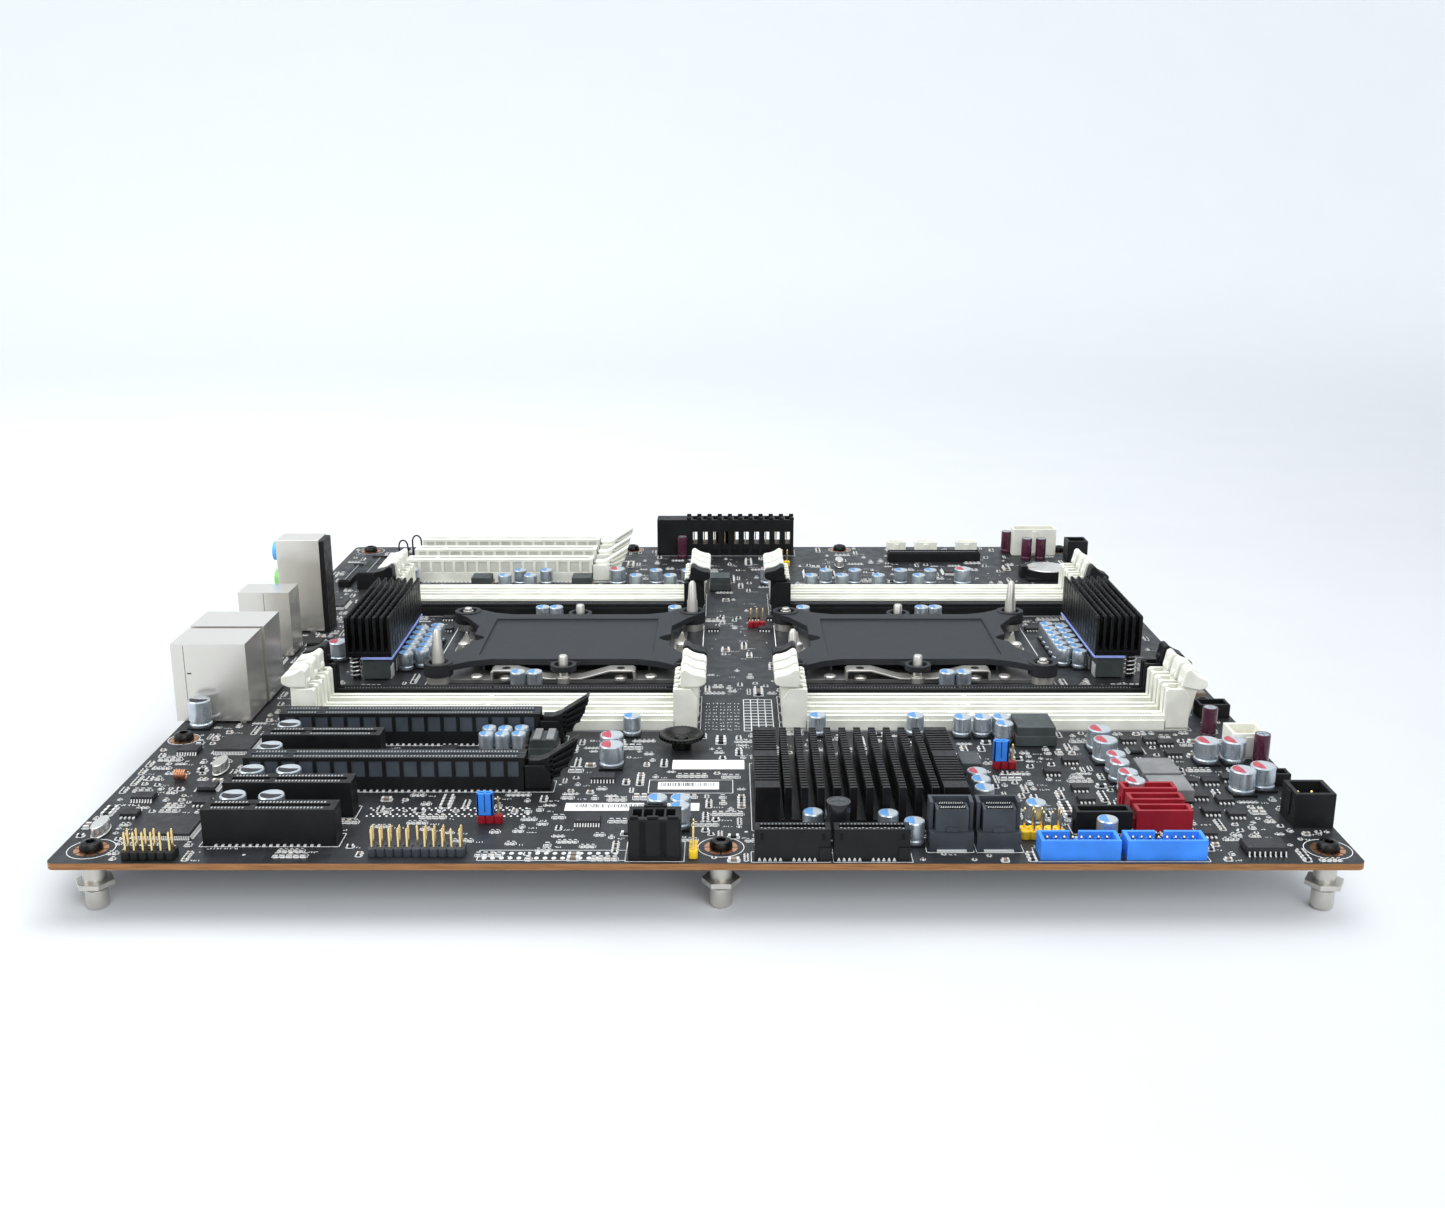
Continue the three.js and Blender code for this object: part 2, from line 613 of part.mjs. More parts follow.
[false, false, true, false, true].forEach((long, index) => {
  const y = SLOT.front + index * SLOT.pitch;
  const length = long ? SLOT.longLength : SLOT.shortLength;
  addSlot(`expansion_slot_${index + 1}`, y, length, LOOKS.blackPlastic, long);
  if (long) {
    addSlotLatch(`slot_latch_${index + 1}`, y, LOOKS.blackPlastic);
  }
});
[6, 7, 8].forEach((number, index) => {
  const y = REAR_SLOT_FRONT + index * SLOT.pitch;
  addSlot(`expansion_slot_${number}`, y, SLOT.longLength, LOOKS.whitePlastic, true);
  addSlotLatch(`slot_latch_${number}`, y, LOOKS.whitePlastic);
});

BANK_PLACES.forEach(([leftX, frontY], index) => {
  addMemoryBank(`memory_bank_${index + 1}`, [leftX, frontY]);
  const isRightColumn = index % 2 === 1;
  addCatches(`memory_catches_${index + 1}_left`, leftX, frontY, 1, 0);
  const openBy = isRightColumn ? CATCH.leftOpen : 0;
  addCatches(`memory_catches_${index + 1}_right`, leftX + BANK.length, frontY, -1, openBy);
});

CPU.centres.forEach((centre, index) => {
  addLoadingFrame(`loading_frame_${index + 1}`, centre);
  addProcessorSocket(`processor_socket_${index + 1}`, centre);
  addDustCover(`dust_cover_${index + 1}`, centre);
});

addChipsetHeatsink();
REGULATOR.places.forEach((place, index) => {
  addRegulatorHeatsink(`regulator_heatsink_${index + 1}`, place, index === 0 ? -1 : 1);
});

PORT_STACKS.slice(0, 3).forEach(addPortStack);
addAudioStack(PORT_STACKS[3]);

addMainPowerConnector();
addFourPinPower();
addSidePowerHeader();
STORAGE_LEFTS.forEach((x, index) => addStorageConnector(`storage_connector_${index + 1}`, x));
CABLE_PORT.lefts.forEach((x, index) => addCablePort(`cable_port_${index + 1}`, x));
addDrivePort("drive_port_black", BLACK_DRIVE_PORT, LOOKS.blackPlastic);
RED_DRIVE_PORTS.forEach((corner, index) => {
  addDrivePort(`drive_port_red_${index + 1}`, corner, LOOKS.redPlastic);
});
USB_HEADER_LEFTS.forEach((x, index) => addUsbHeader(`usb_header_${index + 1}`, x));

addHandScrew(HAND_SCREW);
JUMPER_CAPS.forEach((corner, index) => addJumperCap(`jumper_cap_${index + 1}`, corner));

export default board;
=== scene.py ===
"""Finished model of a two-processor workstation motherboard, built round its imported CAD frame.

Every form is drawn in board millimetres: X and Y from the board's front left corner, Z from its top
face. The CAD frame gives that corner and the box of each node, so a piece that stands for a node is
sized from the node itself.
"""

import math
import random

import bmesh
import bpy
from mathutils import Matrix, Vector


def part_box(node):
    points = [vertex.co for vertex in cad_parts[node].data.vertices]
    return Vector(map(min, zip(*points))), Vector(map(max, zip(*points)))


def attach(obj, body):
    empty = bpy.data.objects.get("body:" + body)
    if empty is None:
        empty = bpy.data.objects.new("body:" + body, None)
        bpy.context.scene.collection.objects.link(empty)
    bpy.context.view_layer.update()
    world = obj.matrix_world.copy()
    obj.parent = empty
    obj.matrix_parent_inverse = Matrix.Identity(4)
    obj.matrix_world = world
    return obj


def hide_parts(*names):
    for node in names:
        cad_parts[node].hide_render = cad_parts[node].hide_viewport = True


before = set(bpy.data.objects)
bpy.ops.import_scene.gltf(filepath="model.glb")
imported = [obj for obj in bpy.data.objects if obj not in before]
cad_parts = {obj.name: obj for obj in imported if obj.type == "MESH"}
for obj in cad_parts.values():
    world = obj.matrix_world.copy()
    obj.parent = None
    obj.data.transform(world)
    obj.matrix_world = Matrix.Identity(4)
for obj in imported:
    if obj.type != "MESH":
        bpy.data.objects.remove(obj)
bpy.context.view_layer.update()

MM = 0.001
BOARD_LOW, BOARD_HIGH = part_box("circuit_board")
ORIGIN = Vector((BOARD_LOW.x, BOARD_LOW.y, BOARD_HIGH.z))
WIDTH, DEPTH, THICK = ((high - low) / MM for low, high in zip(BOARD_LOW, BOARD_HIGH))
FLOOR = -ORIGIN.z / MM

SCREW_HOLES = [(6, 98.7), (369, 133.6), (145.2, 373.7), (252.6, 373.7)]
SIDES = (-1, 1)
INK = 0.05  # how far the print stands up


def row(x, y, z):
    """Board millimetres to the row frame in metres."""
    return ORIGIN + Vector((x, y, z)) * MM


def span(node):
    """A CAD node's box as x0, x1, y0, y1, z0, z1 in board millimetres."""
    low, high = ((corner - ORIGIN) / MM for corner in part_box(node))
    return low.x, high.x, low.y, high.y, low.z, high.z


def centre(node):
    x0, x1, y0, y1, _, _ = span(node)
    return (x0 + x1) / 2, (y0 + y1) / 2


# Forms ---------------------------------------------------------------------------------------


def circle(x, y, radius, sides, start=0.0):
    """Points round a circle, the first at the start angle."""
    angles = (start + 2 * math.pi * i / sides for i in range(sides))
    return [(x + radius * math.cos(angle), y + radius * math.sin(angle)) for angle in angles]


class Form:
    """Closed shapes gathered into one mesh. A paint is the index of a face's material."""

    def __init__(self):
        self.points = []
        self.faces = []
        self.paints = []

    def put(self, points, faces, paint=0):
        start = len(self.points)
        self.points += points
        self.faces += [[start + corner for corner in face] for face in faces]
        self.paints += [paint] * len(faces) if isinstance(paint, int) else paint

    def box(self, x0, x1, y0, y1, z0, z1, paint=0):
        """A block. The two ends of x, y or z may be given in either order."""
        xs, ys, zs = sorted((x0, x1)), sorted((y0, y1)), sorted((z0, z1))
        points = [(x, y, z) for z in zs for y in ys for x in xs]
        faces = [(0, 2, 3, 1), (4, 5, 7, 6), (0, 1, 5, 4), (2, 6, 7, 3), (0, 4, 6, 2), (1, 3, 7, 5)]
        self.put(points, faces, paint)

    def block(self, x, y, half_x, half_y, z0, z1, paint=0):
        self.box(x - half_x, x + half_x, y - half_y, y + half_y, z0, z1, paint)

    def loft(self, levels, paint=0):
        """Outlines with the same number of points, joined in order and closed at both ends."""
        count = len(levels[0])
        last = (len(levels) - 1) * count
        faces = [list(range(count)), list(range(last, last + count))]
        for base in range(0, last, count):
            for i in range(count):
                ahead = (i + 1) % count
                faces.append([base + i, base + ahead, base + count + ahead, base + count + i])
        self.put([point for level in levels for point in level], faces, paint)

    def prism(self, outline, low, high, axis="z", paint=0):
        """An outline drawn in the plane across an axis (xy, xz or yz), pushed from low to high."""
        lift = {
            "z": lambda u, v, w: (u, v, w),
            "y": lambda u, v, w: (u, w, v),
            "x": lambda u, v, w: (w, u, v),
        }[axis]
        self.loft([[lift(u, v, w) for u, v in outline] for w in (low, high)], paint)

    def turned(self, x, y, profile, sides, paint=0, mark=None):
        """A shape turned about an upright axis. profile holds (radius, z) from bottom to top, and
        mark is (first side, last side, paint): a coloured sector on the last band."""
        points, faces, paints, rings = [], [], [], []
        for radius, z in profile:
            ring = [(x, y)] if radius == 0 else circle(x, y, radius, sides)
            rings.append(range(len(points), len(points) + len(ring)))
            points += [(px, py, z) for px, py in ring]
        for band, (lower, upper) in enumerate(zip(rings, rings[1:])):
            for side in range(sides):
                ahead = (side + 1) % sides
                if len(lower) == 1:
                    faces.append([lower[0], upper[ahead], upper[side]])
                elif len(upper) == 1:
                    faces.append([lower[side], lower[ahead], upper[0]])
                else:
                    faces.append([lower[side], lower[ahead], upper[ahead], upper[side]])
                marked = mark and band == len(rings) - 2 and mark[0] <= side < mark[1]
                paints.append(mark[2] if marked else paint)
        self.put(points, faces, paints)

    def tube(self, path, radius, sides=8, paint=0):
        """A round wire along a path of points."""
        path = [Vector(point) for point in path]
        across = (path[1] - path[0]).orthogonal().normalized()
        levels = []
        for index, here in enumerate(path):
            ahead = path[min(index + 1, len(path) - 1)] - path[max(index - 1, 0)]
            across = (across - ahead * (across.dot(ahead) / ahead.length_squared)).normalized()
            other = ahead.cross(across).normalized()
            spokes = circle(0, 0, radius, sides)
            levels.append([tuple(here + across * a + other * b) for a, b in spokes])
        self.loft(levels, paint)

    def ring(self, x, y, z0, z1, inner, outer, start=0.0, end=360.0, sides=24):
        """A flat ring, or an arc of one when start and end are less than a turn apart."""
        whole = end - start >= 360
        steps = max(3, round(sides * (end - start) / 360))
        count = steps if whole else steps + 1
        angles = [math.radians(start + (end - start) * step / steps) for step in range(count)]
        points = [
            (x + radius * math.cos(angle), y + radius * math.sin(angle), z)
            for z in (z0, z1) for radius in (inner, outer) for angle in angles
        ]
        low_in, low_out, top_in, top_out = 0, count, 2 * count, 3 * count
        faces = []
        for a in range(steps):
            b = (a + 1) % count
            for p, q in (
                (low_in, low_out), (top_out, top_in), (top_in, low_in), (low_out, top_out),
            ):
                faces.append([p + a, p + b, q + b, q + a])
        if not whole:
            for step in (0, count - 1):
                faces.append([low_in + step, low_out + step, top_out + step, top_in + step])
        self.put(points, faces)


def piece(name, form, finish, body="board", bevel=0.0, segments=2, stands_for=None, sharp=38):
    """Makes a form into an object that rides on a body. finish names its materials in the order
    of the paints."""
    mesh = bpy.data.meshes.new(name)
    mesh.from_pydata([row(*point) for point in form.points], [], form.faces)
    for key in finish.split():
        mesh.materials.append(MATERIAL[key])
    mesh.polygons.foreach_set("material_index", form.paints)
    work = bmesh.new()
    work.from_mesh(mesh)
    bmesh.ops.recalc_face_normals(work, faces=work.faces)
    work.to_mesh(mesh)
    work.free()
    mesh.polygons.foreach_set("use_smooth", [True] * len(mesh.polygons))
    mesh.set_sharp_from_angle(angle=math.radians(sharp))
    made = bpy.data.objects.new(name, mesh)
    bpy.context.scene.collection.objects.link(made)
    if bevel:
        soften(made, bevel, segments)
    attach(made, body)
    if stands_for:
        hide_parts(stands_for)


def soften(made, width, segments=2):
    """Bevels the edges that turn by more than 35 degrees."""
    edge = made.modifiers.new("edge", "BEVEL")
    edge.width = width * MM
    edge.segments = segments
    edge.limit_method = "ANGLE"
    edge.angle_limit = math.radians(35)
    edge.use_clamp_overlap = True


def dress(node, finish, bevel=0.0):
    """Gives a CAD node its finish and softens its edges."""
    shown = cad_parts[node]
    shown.data.materials.clear()
    shown.data.materials.append(MATERIAL[finish])
    if bevel:
        soften(shown, bevel)


# Covered board -------------------------------------------------------------------------------

TAKEN = []


def claim(x0, x1, y0, y1, margin=0.6):
    """Marks part of the board as covered, so that no small part is scattered there."""
    TAKEN.append((x0 - margin, x1 + margin, y0 - margin, y1 + margin))


def claim_node(node, margin=0.6):
    claim(*span(node)[:4], margin)


def claim_round(x, y, radius, margin=0.6):
    claim(x - radius, x + radius, y - radius, y + radius, margin)


def is_free(x0, x1, y0, y1):
    return all(x1 <= a or x0 >= b or y1 <= c or y0 >= d for a, b, c, d in TAKEN)


def keep(node, finish, bevel=0.2):
    """Shows a CAD node's own shape, with softened edges, and returns its box."""
    dress(node, finish, bevel)
    claim_node(node)
    return span(node)


# Materials -----------------------------------------------------------------------------------


class Nodes:
    """A short way to wire a node material."""

    def __init__(self, name):
        self.material = bpy.data.materials.new(name)
        self.material.use_nodes = True
        self.tree = self.material.node_tree
        self.shader = self.tree.nodes["Principled BSDF"]
        self.place = self.tree.nodes.new("ShaderNodeTexCoord").outputs["Object"]

    def feed(self, socket, value):
        """Links or sets an input. A colour is given as red, green and blue."""
        if isinstance(value, bpy.types.NodeSocket):
            self.tree.links.new(value, socket)
        else:
            socket.default_value = (*value, 1) if socket.type == "RGBA" else value

    def add(self, kind, inputs, **settings):
        node = self.tree.nodes.new(kind)
        for key, value in settings.items():
            setattr(node, key, value)
        for key, value in inputs.items():
            self.feed(node.inputs[key], value)
        return node

    def noise(self, size, detail, stretch=(1, 1, 1)):
        """Noise whose blobs are about size millimetres across."""
        mapped = self.add("ShaderNodeMapping", {"Vector": self.place, "Scale": stretch})
        settings = {"Vector": mapped.outputs[0], "Scale": 1 / (size * MM), "Detail": detail}
        return self.add("ShaderNodeTexNoise", settings).outputs["Fac"]

    def ramp(self, fac, low, high, start=0.35, end=0.65):
        limits = {"From Min": start, "From Max": end, "To Min": low, "To Max": high}
        return self.add("ShaderNodeMapRange", {"Value": fac, **limits}).outputs[0]

    def mix(self, fac, first, second):
        made = self.add("ShaderNodeMix", {}, data_type="RGBA")
        sockets = {socket.name: socket for socket in made.inputs if socket.enabled}
        for key, value in (("Factor", fac), ("A", first), ("B", second)):
            self.feed(sockets[key], value)
        return next(socket for socket in made.outputs if socket.enabled)

    def math(self, operation, first, second=0.0):
        inputs = {0: first, 1: second}
        return self.add("ShaderNodeMath", inputs, operation=operation).outputs[0]

    def part(self, vector, axis):
        return self.add("ShaderNodeSeparateXYZ", {0: vector}).outputs[axis]

    def normal(self):
        return self.add("ShaderNodeNewGeometry", {}).outputs["Normal"]

    def bump(self, height, strength, distance):
        inputs = {"Height": height, "Strength": strength, "Distance": distance * MM}
        self.feed(self.shader.inputs["Normal"], self.add("ShaderNodeBump", inputs).outputs[0])

    def set(self, **values):
        names = {
            "color": "Base Color", "rough": "Roughness", "metal": "Metallic",
            "coat": "Coat Weight", "gloss": "Specular IOR Level",
        }
        for key, value in values.items():
            self.feed(self.shader.inputs[names[key]], value)


def scaled(color, factor):
    return tuple(min(1.0, channel * factor) for channel in color)


def plastic(
    name, color, rough, grain=0.25, bump=0.25, coat=0.0, wear=1.25, uneven=0.08
):
    """Moulded plastic: a fine spark-eroded grain, faint flow tone and handling polish."""
    nodes = Nodes(name)
    tone = nodes.ramp(nodes.noise(9, 3), 0, 1)
    nodes.set(
        color=nodes.mix(tone, scaled(color, 1 - 1.5 * uneven), scaled(color, wear)),
        rough=nodes.ramp(nodes.noise(3, 2), rough - uneven, rough + uneven),
        coat=coat, gloss=0.22,
    )
    nodes.bump(nodes.noise(grain, 2), bump, 0.02)
    return nodes.material


def metal(name, color, rough, bump=0.05, tarnish=0.9, full=1.0, uneven=0.05):
    """Drawn or plated metal, a little tarnished and unevenly polished."""
    nodes = Nodes(name)
    tone = nodes.ramp(nodes.noise(8, 3), 0, 1, 0.3, 0.75)
    nodes.set(
        color=nodes.mix(tone, scaled(color, tarnish), color), metal=full,
        rough=nodes.ramp(nodes.noise(2.5, 2), rough - uneven, rough + uneven),
    )
    nodes.bump(nodes.noise(0.5, 2), bump, 0.01)
    return nodes.material


def lines(nodes, axis, pitch, thickness):
    """Thin parallel lines across an axis, as 0 or 1."""
    cells = nodes.math("MULTIPLY", nodes.part(nodes.place, axis), 1 / (pitch * MM))
    return nodes.math("LESS_THAN", nodes.math("FRACT", cells), thickness / pitch)


def solder_mask():
    """Near-black mask over copper: bundles of tracks show faintly, and the cut edge is brown."""
    nodes = Nodes("board_laminate")
    along_x = nodes.math("GREATER_THAN", nodes.noise(22, 1, (1, 3, 1)), 0.56)
    along_y = nodes.math("GREATER_THAN", nodes.noise(19, 1, (3, 1, 1)), 0.57)
    track_pitch, track_width = 0.9, 0.4
    tracks = nodes.math("MULTIPLY", lines(nodes, 1, track_pitch, track_width), along_x)
    other = nodes.math("MULTIPLY", lines(nodes, 0, track_pitch, track_width), along_y)
    copper = nodes.math("MAXIMUM", tracks, other)
    dark = nodes.mix(copper, (0.011, 0.012, 0.013), (0.02, 0.022, 0.024))
    pale = nodes.mix(copper, (0.015, 0.016, 0.018), (0.026, 0.028, 0.031))
    mask = nodes.mix(nodes.ramp(nodes.noise(30, 4), 0, 1), dark, pale)
    upright = nodes.math("ABSOLUTE", nodes.part(nodes.normal(), 2))
    layers = nodes.ramp(nodes.noise(1.2, 3, (0.15, 0.15, 6)), 0, 1)
    edge = nodes.mix(layers, (0.2, 0.085, 0.028), (0.36, 0.17, 0.06))
    nodes.set(
        color=nodes.mix(nodes.math("GREATER_THAN", upright, 0.5), edge, mask),
        rough=nodes.ramp(nodes.noise(5, 3), 0.38, 0.5), gloss=0.3,
    )
    weave = nodes.math("MULTIPLY", nodes.noise(0.5, 2), 0.15)
    nodes.bump(nodes.math("ADD", copper, weave), 0.35, 0.03)
    return nodes.material


def can_metal():
    """A capacitor's sleeve-less can: pale drawn aluminium with an upright draw grain."""
    nodes = Nodes("capacitor_can")
    tone = nodes.ramp(nodes.noise(4, 3), 0, 1)
    nodes.set(
        color=nodes.mix(tone, (0.44, 0.5, 0.55), (0.6, 0.66, 0.71)), metal=0.8,
        rough=nodes.ramp(nodes.noise(1.2, 2, (1, 1, 0.1)), 0.26, 0.36),
    )
    nodes.bump(nodes.noise(0.3, 2, (1, 1, 0.08)), 0.1, 0.02)
    return nodes.material


def printed_top(name, ink, ground=(0.4, 0.43, 0.45)):
    """A can's top: ink with uneven cover over pale lacquer."""
    nodes = Nodes(name)
    cover = nodes.ramp(nodes.noise(0.5, 3), 0.65, 1, 0.3, 0.55)
    nodes.set(color=nodes.mix(cover, ground, ink), rough=0.6, gloss=0.08)
    return nodes.material


def anodised():
    """Black anodised aluminium with an extrusion grain and pale worn edges."""
    nodes = Nodes("black_aluminium")
    tone = nodes.ramp(nodes.noise(7, 4, (1, 0.3, 1)), 0, 1)
    edge = nodes.add("ShaderNodeBevel", {"Radius": 0.12 * MM}, samples=4).outputs[0]
    both = {0: edge, 1: nodes.normal()}
    turn = nodes.add("ShaderNodeVectorMath", both, operation="DOT_PRODUCT").outputs["Value"]
    worn = nodes.ramp(turn, 1, 0, 0.9, 0.995)
    worn = nodes.math("MULTIPLY", worn, nodes.ramp(nodes.noise(1.5, 3), 0, 1))
    base = nodes.mix(tone, (0.004, 0.004, 0.0045), (0.009, 0.009, 0.01))
    nodes.set(
        color=nodes.mix(worn, base, (0.07, 0.07, 0.07)), metal=0.0, gloss=0.2,
        rough=nodes.ramp(nodes.noise(1.5, 3, (1, 0.2, 1)), 0.3, 0.44),
    )
    nodes.bump(nodes.noise(0.4, 2, (1, 0.1, 1)), 0.2, 0.02)
    return nodes.material


MATERIAL = {
    "board": solder_mask(),
    "gloss": plastic("gloss_sleeve", (0.012, 0.013, 0.015), 0.2, bump=0.05, coat=0.5, wear=1.1),
    "black": plastic("black_moulding", (0.0065, 0.0068, 0.0072), 0.48, wear=1.5),
    "panel": plastic("slot_panel", (0.055, 0.066, 0.08), 0.5, wear=1.2),
    # Ivory darkened below the white moulding: painted shade for the recessed panels of the white
    # slots.
    "ivory": plastic("ivory_panel_painted_shade", (0.6, 0.6, 0.53), 0.45, bump=0.1, wear=1.03),
    "grey": plastic("grey_moulding", (0.04, 0.046, 0.056), 0.42),
    "white": plastic("white_moulding", (0.8, 0.8, 0.71), 0.42, bump=0.12, wear=1.05),
    "blue": plastic("blue_moulding", (0.045, 0.24, 0.82), 0.4, bump=0.12, wear=1.12),
    "red": plastic("red_moulding", (0.28, 0.012, 0.022), 0.4, bump=0.12, wear=1.15),
    "yellow": plastic("yellow_moulding", (0.85, 0.55, 0.03), 0.42, bump=0.12, wear=1.1),
    "cover": plastic(
        "cover_moulding", (0.02, 0.022, 0.0245), 0.55, 0.35, bump=0.05, wear=1.02, uneven=0.01
    ),
    "chip": plastic("chip_moulding", (0.02, 0.02, 0.022), 0.5, 0.12, wear=1.5),
    "ferrite": plastic("ferrite_block", (0.045, 0.052, 0.052), 0.5, 0.5, bump=0.4, wear=1.4),
    "grey_block": plastic("shielded_inductor", (0.19, 0.19, 0.19), 0.42, 0.4, bump=0.3, wear=1.2),
    "sleeve": plastic("purple_sleeve", (0.06, 0.014, 0.03), 0.22, bump=0.05, coat=0.5, wear=1.4),
    "tan": plastic("ceramic_body", (0.2, 0.165, 0.13), 0.45),
    "pad_blue": plastic("thermal_pad", (0.3, 0.37, 0.78), 0.8, 0.6, bump=0.3, wear=1.1),
    "label": plastic("blank_label", (0.82, 0.82, 0.8), 0.55, 0.3, bump=0.1, wear=1.03),
    "print": plastic("board_print", (0.8, 0.81, 0.8), 0.6, 0.2, bump=0.1, wear=1.1),
    "jack_blue": plastic("jack_blue", (0.12, 0.42, 0.85), 0.35, wear=1.1),
    "jack_green": plastic("jack_green", (0.3, 0.72, 0.22), 0.35, wear=1.1),
    "jack_pink": plastic("jack_pink", (0.85, 0.3, 0.42), 0.35, wear=1.1),
    "aluminium": anodised(),
    # Near black laid over holes, slots and recesses: painted shade inside them.
    "cavity": plastic("painted_cavity_shade", (0.002, 0.002, 0.002), 0.7),
    "contact": metal("slot_contact", (0.4, 0.42, 0.43), 0.4, full=0.3),
    "can": can_metal(),
    "top": printed_top("plain_top", (0.37, 0.4, 0.42)),
    "top_blue": printed_top("blue_mark", (0.08, 0.24, 0.5)),
    "top_red": printed_top("red_mark", (0.38, 0.05, 0.07)),
    "top_black": printed_top("black_mark", (0.03, 0.03, 0.033), (0.16, 0.17, 0.18)),
    "shell": metal(
        "port_shell", (0.68, 0.66, 0.61), 0.23, bump=0.0, tarnish=0.98, full=0.75, uneven=0.0
    ),
    "nickel": metal("nickel_plate", (0.62, 0.6, 0.55), 0.3, bump=0.0, full=0.75, uneven=0.02),
    "steel": metal("bright_steel", (0.72, 0.71, 0.68), 0.27, bump=0.02, full=0.85, uneven=0.03),
    "gold": metal("gold_contact", (0.86, 0.66, 0.32), 0.25),
    "frame": metal("frame_plate", (0.2, 0.2, 0.19), 0.42, bump=0.0, full=0.6, uneven=0.02),
    "solder": metal("solder_joint", (0.8, 0.8, 0.78), 0.35, bump=0.1, full=0.4),
    "copper": metal("bare_copper", (0.62, 0.3, 0.16), 0.34),
    "black_steel": metal("black_screw", (0.035, 0.034, 0.033), 0.3, tarnish=0.6),
}


# Board, standoffs and screws -----------------------------------------------------------------


def screw_head(form, x, y, paint, dark):
    """A low screw head with a six-lobed drive."""
    lobe, floor_z, sides = 1.45, 1.3, 24
    head = [(1.7, 0), (3.3, 0), (3.4, 0.4), (3.3, 1.4), (2.8, 2.3), (2.1, 2.55), (lobe, 2.6)]
    drive = [(1.35, floor_z), (0, floor_z)]
    # The floor of the drive takes the dark paint: painted shade at the bottom of the recess.
    form.turned(x, y, head + drive, sides, paint, (0, sides, dark))
    for px, py in circle(x, y, lobe, 6):
        form.turned(px, py, [(0, floor_z), (0.32, floor_z), (0.32, 2.4), (0, 2.4)], 8, paint)


def standoff(node):
    """A turned standoff: rounded foot, groove, thin hexagonal flange and plain upper shank."""
    low = span(node)[4]
    x, y = centre(node)
    under = -THICK
    flange_top = under - (under - low) * 0.45
    flange = flange_top - 1.6
    across_flats, neck, shank = 10, 2.8, 3.3
    profile = [(0, low), (2.2, low), (neck, low + 0.25), (3.2, low + 0.8), (shank, low + 1.5)]
    profile += [(shank, flange - 1.3), (neck, flange - 1.0), (neck, flange + 0.2)]
    form = Form()
    form.turned(x, y, profile + [(shank, flange + 0.2), (shank, under), (0, under)], 32)
    form.prism(circle(x, y, across_flats / math.sqrt(3), 6), flange, flange_top)
    screw_head(form, x, y, 1, 2)
    finish = "nickel black_steel black"
    piece(node + "_turned", form, finish, bevel=0.25, stands_for=node)
    return x, y


def board_screws():
    """The screws in the board's plain holes."""
    form = Form()
    tip = -THICK - 3
    for x, y in SCREW_HOLES:
        screw_head(form, x, y, 0, 1)
        form.turned(x, y, [(0, tip), (1.5, tip), (1.5, 0.2), (0, 0.2)], 12)
    piece("plain_hole_screws", form, "black_steel black")


def screw_lands(places):
    """Split bare lands round the screw heads."""
    form = Form()
    for x, y in places:
        for start in range(0, 360, 45):
            form.ring(x, y, 0, 0.06, 3.2, 4.9, start + 4, start + 41)
        claim_round(x, y, 5)
    piece("screw_lands", form, "copper")


# Expansion slots -----------------------------------------------------------------------------

WHITE_SLOTS = (6, 7, 8)
LATCHED_LENGTH = 60  # slots longer than this end in a card latch


def slot_shell(form, x0, x1, y0, y1, height, key, panelled):
    """A card slot's moulding: side walls, end walls, key and, on a long slot, a band of square
    panels between ribs."""
    mid = (y0 + y1) / 2
    lip, proud = 0.95, 0.3 if panelled else 0
    for outer, side in ((y0, 1), (y1, -1)):
        inner = mid - side * lip
        # On a long slot the recessed panels take paint 1; on a white slot that is a darker ivory,
        # painted shade between the ribs.
        form.box(x0 + 0.1, x1 - 0.1, outer + side * proud, inner, 0, height, int(panelled))
        if panelled:
            rib = inner - side * proud
            shelf = outer if side > 0 else outer + proud
            form.box(x0, x1, outer, rib, 0, 4.8)
            form.box(x0, x1, shelf, rib, height - 0.25, height + 0.01)
            form.box(x0, x1, outer, rib, height - 1.2, height - 0.2)
            count, wide = round((x1 - x0) / 5.4), 1.2
            for index in range(count + 1):
                left = x0 + index * (x1 - x0 - wide) / count
                form.box(left, left + wide, outer, rib, 4.7, height - 1.1)
    for end in (x0, x1 - 2):
        form.box(end, end + 2, y0 + 0.05, y1 - 0.05, 0, height - 0.05)
    form.block(key, mid, 0.95, 1, 0, height - 0.2)
    form.box(x0 + 1, x1 - 1, mid - 1, mid + 1, 0, height - 7.5)


def slot_contacts(form, x0, x1, y0, y1, height, key):
    """Two rows of sprung contacts in the slot's top, and the solder feet along its base."""
    mid = (y0 + y1) / 2
    for index in range(int(x1 - x0 - 5)):
        x = x0 + 3 + index
        if abs(x - key) > 1.4:
            for y in (mid - 0.765, mid + 0.765):
                form.block(x, y, 0.22, 0.215, height - 5, height - 0.9, 2)
            for y in (mid - 2.05, mid + 2.05):
                form.block(x, y, 0.26, 0.55, height - 0.1, height + 0.02, 3)
        if index % 2:
            form.box(x - 0.42, x + 0.42, y0 - 0.8, y0 + 0.1, 0, 0.45, 4)


def expansion_slot(number):
    node = f"expansion_slot_{number}"
    x0, x1, y0, y1, _, height = span(node)
    latched = x1 - x0 > LATCHED_LENGTH
    end = x1 - 8 if latched else x1
    form = Form()
    key = x0 + 14.4
    slot_shell(form, x0, end, y0, y1, height, key, latched)
    slot_contacts(form, x0, end, y0, y1, height, key)
    if latched:
        end -= 0.5
        form.box(end, x1, y0, y1, 0, 1)
        cheek = [(end, 0.5), (x1, 0.5), (x1, 5.6), (x1 - 1.8, 8.4), (end, 8.4)]
        for low in (y0, y1 - 1.1):
            form.prism(cheek, low, low + 1.1, "y")
    colour, finish = "black", "black panel gold contact solder"
    if number in WHITE_SLOTS:
        colour, finish = "white", "white ivory gold white solder"
    name = f"slot_moulding_{number}"
    piece(name, form, finish, bevel=0.12, stands_for=node)
    claim_node(node, 1.6)


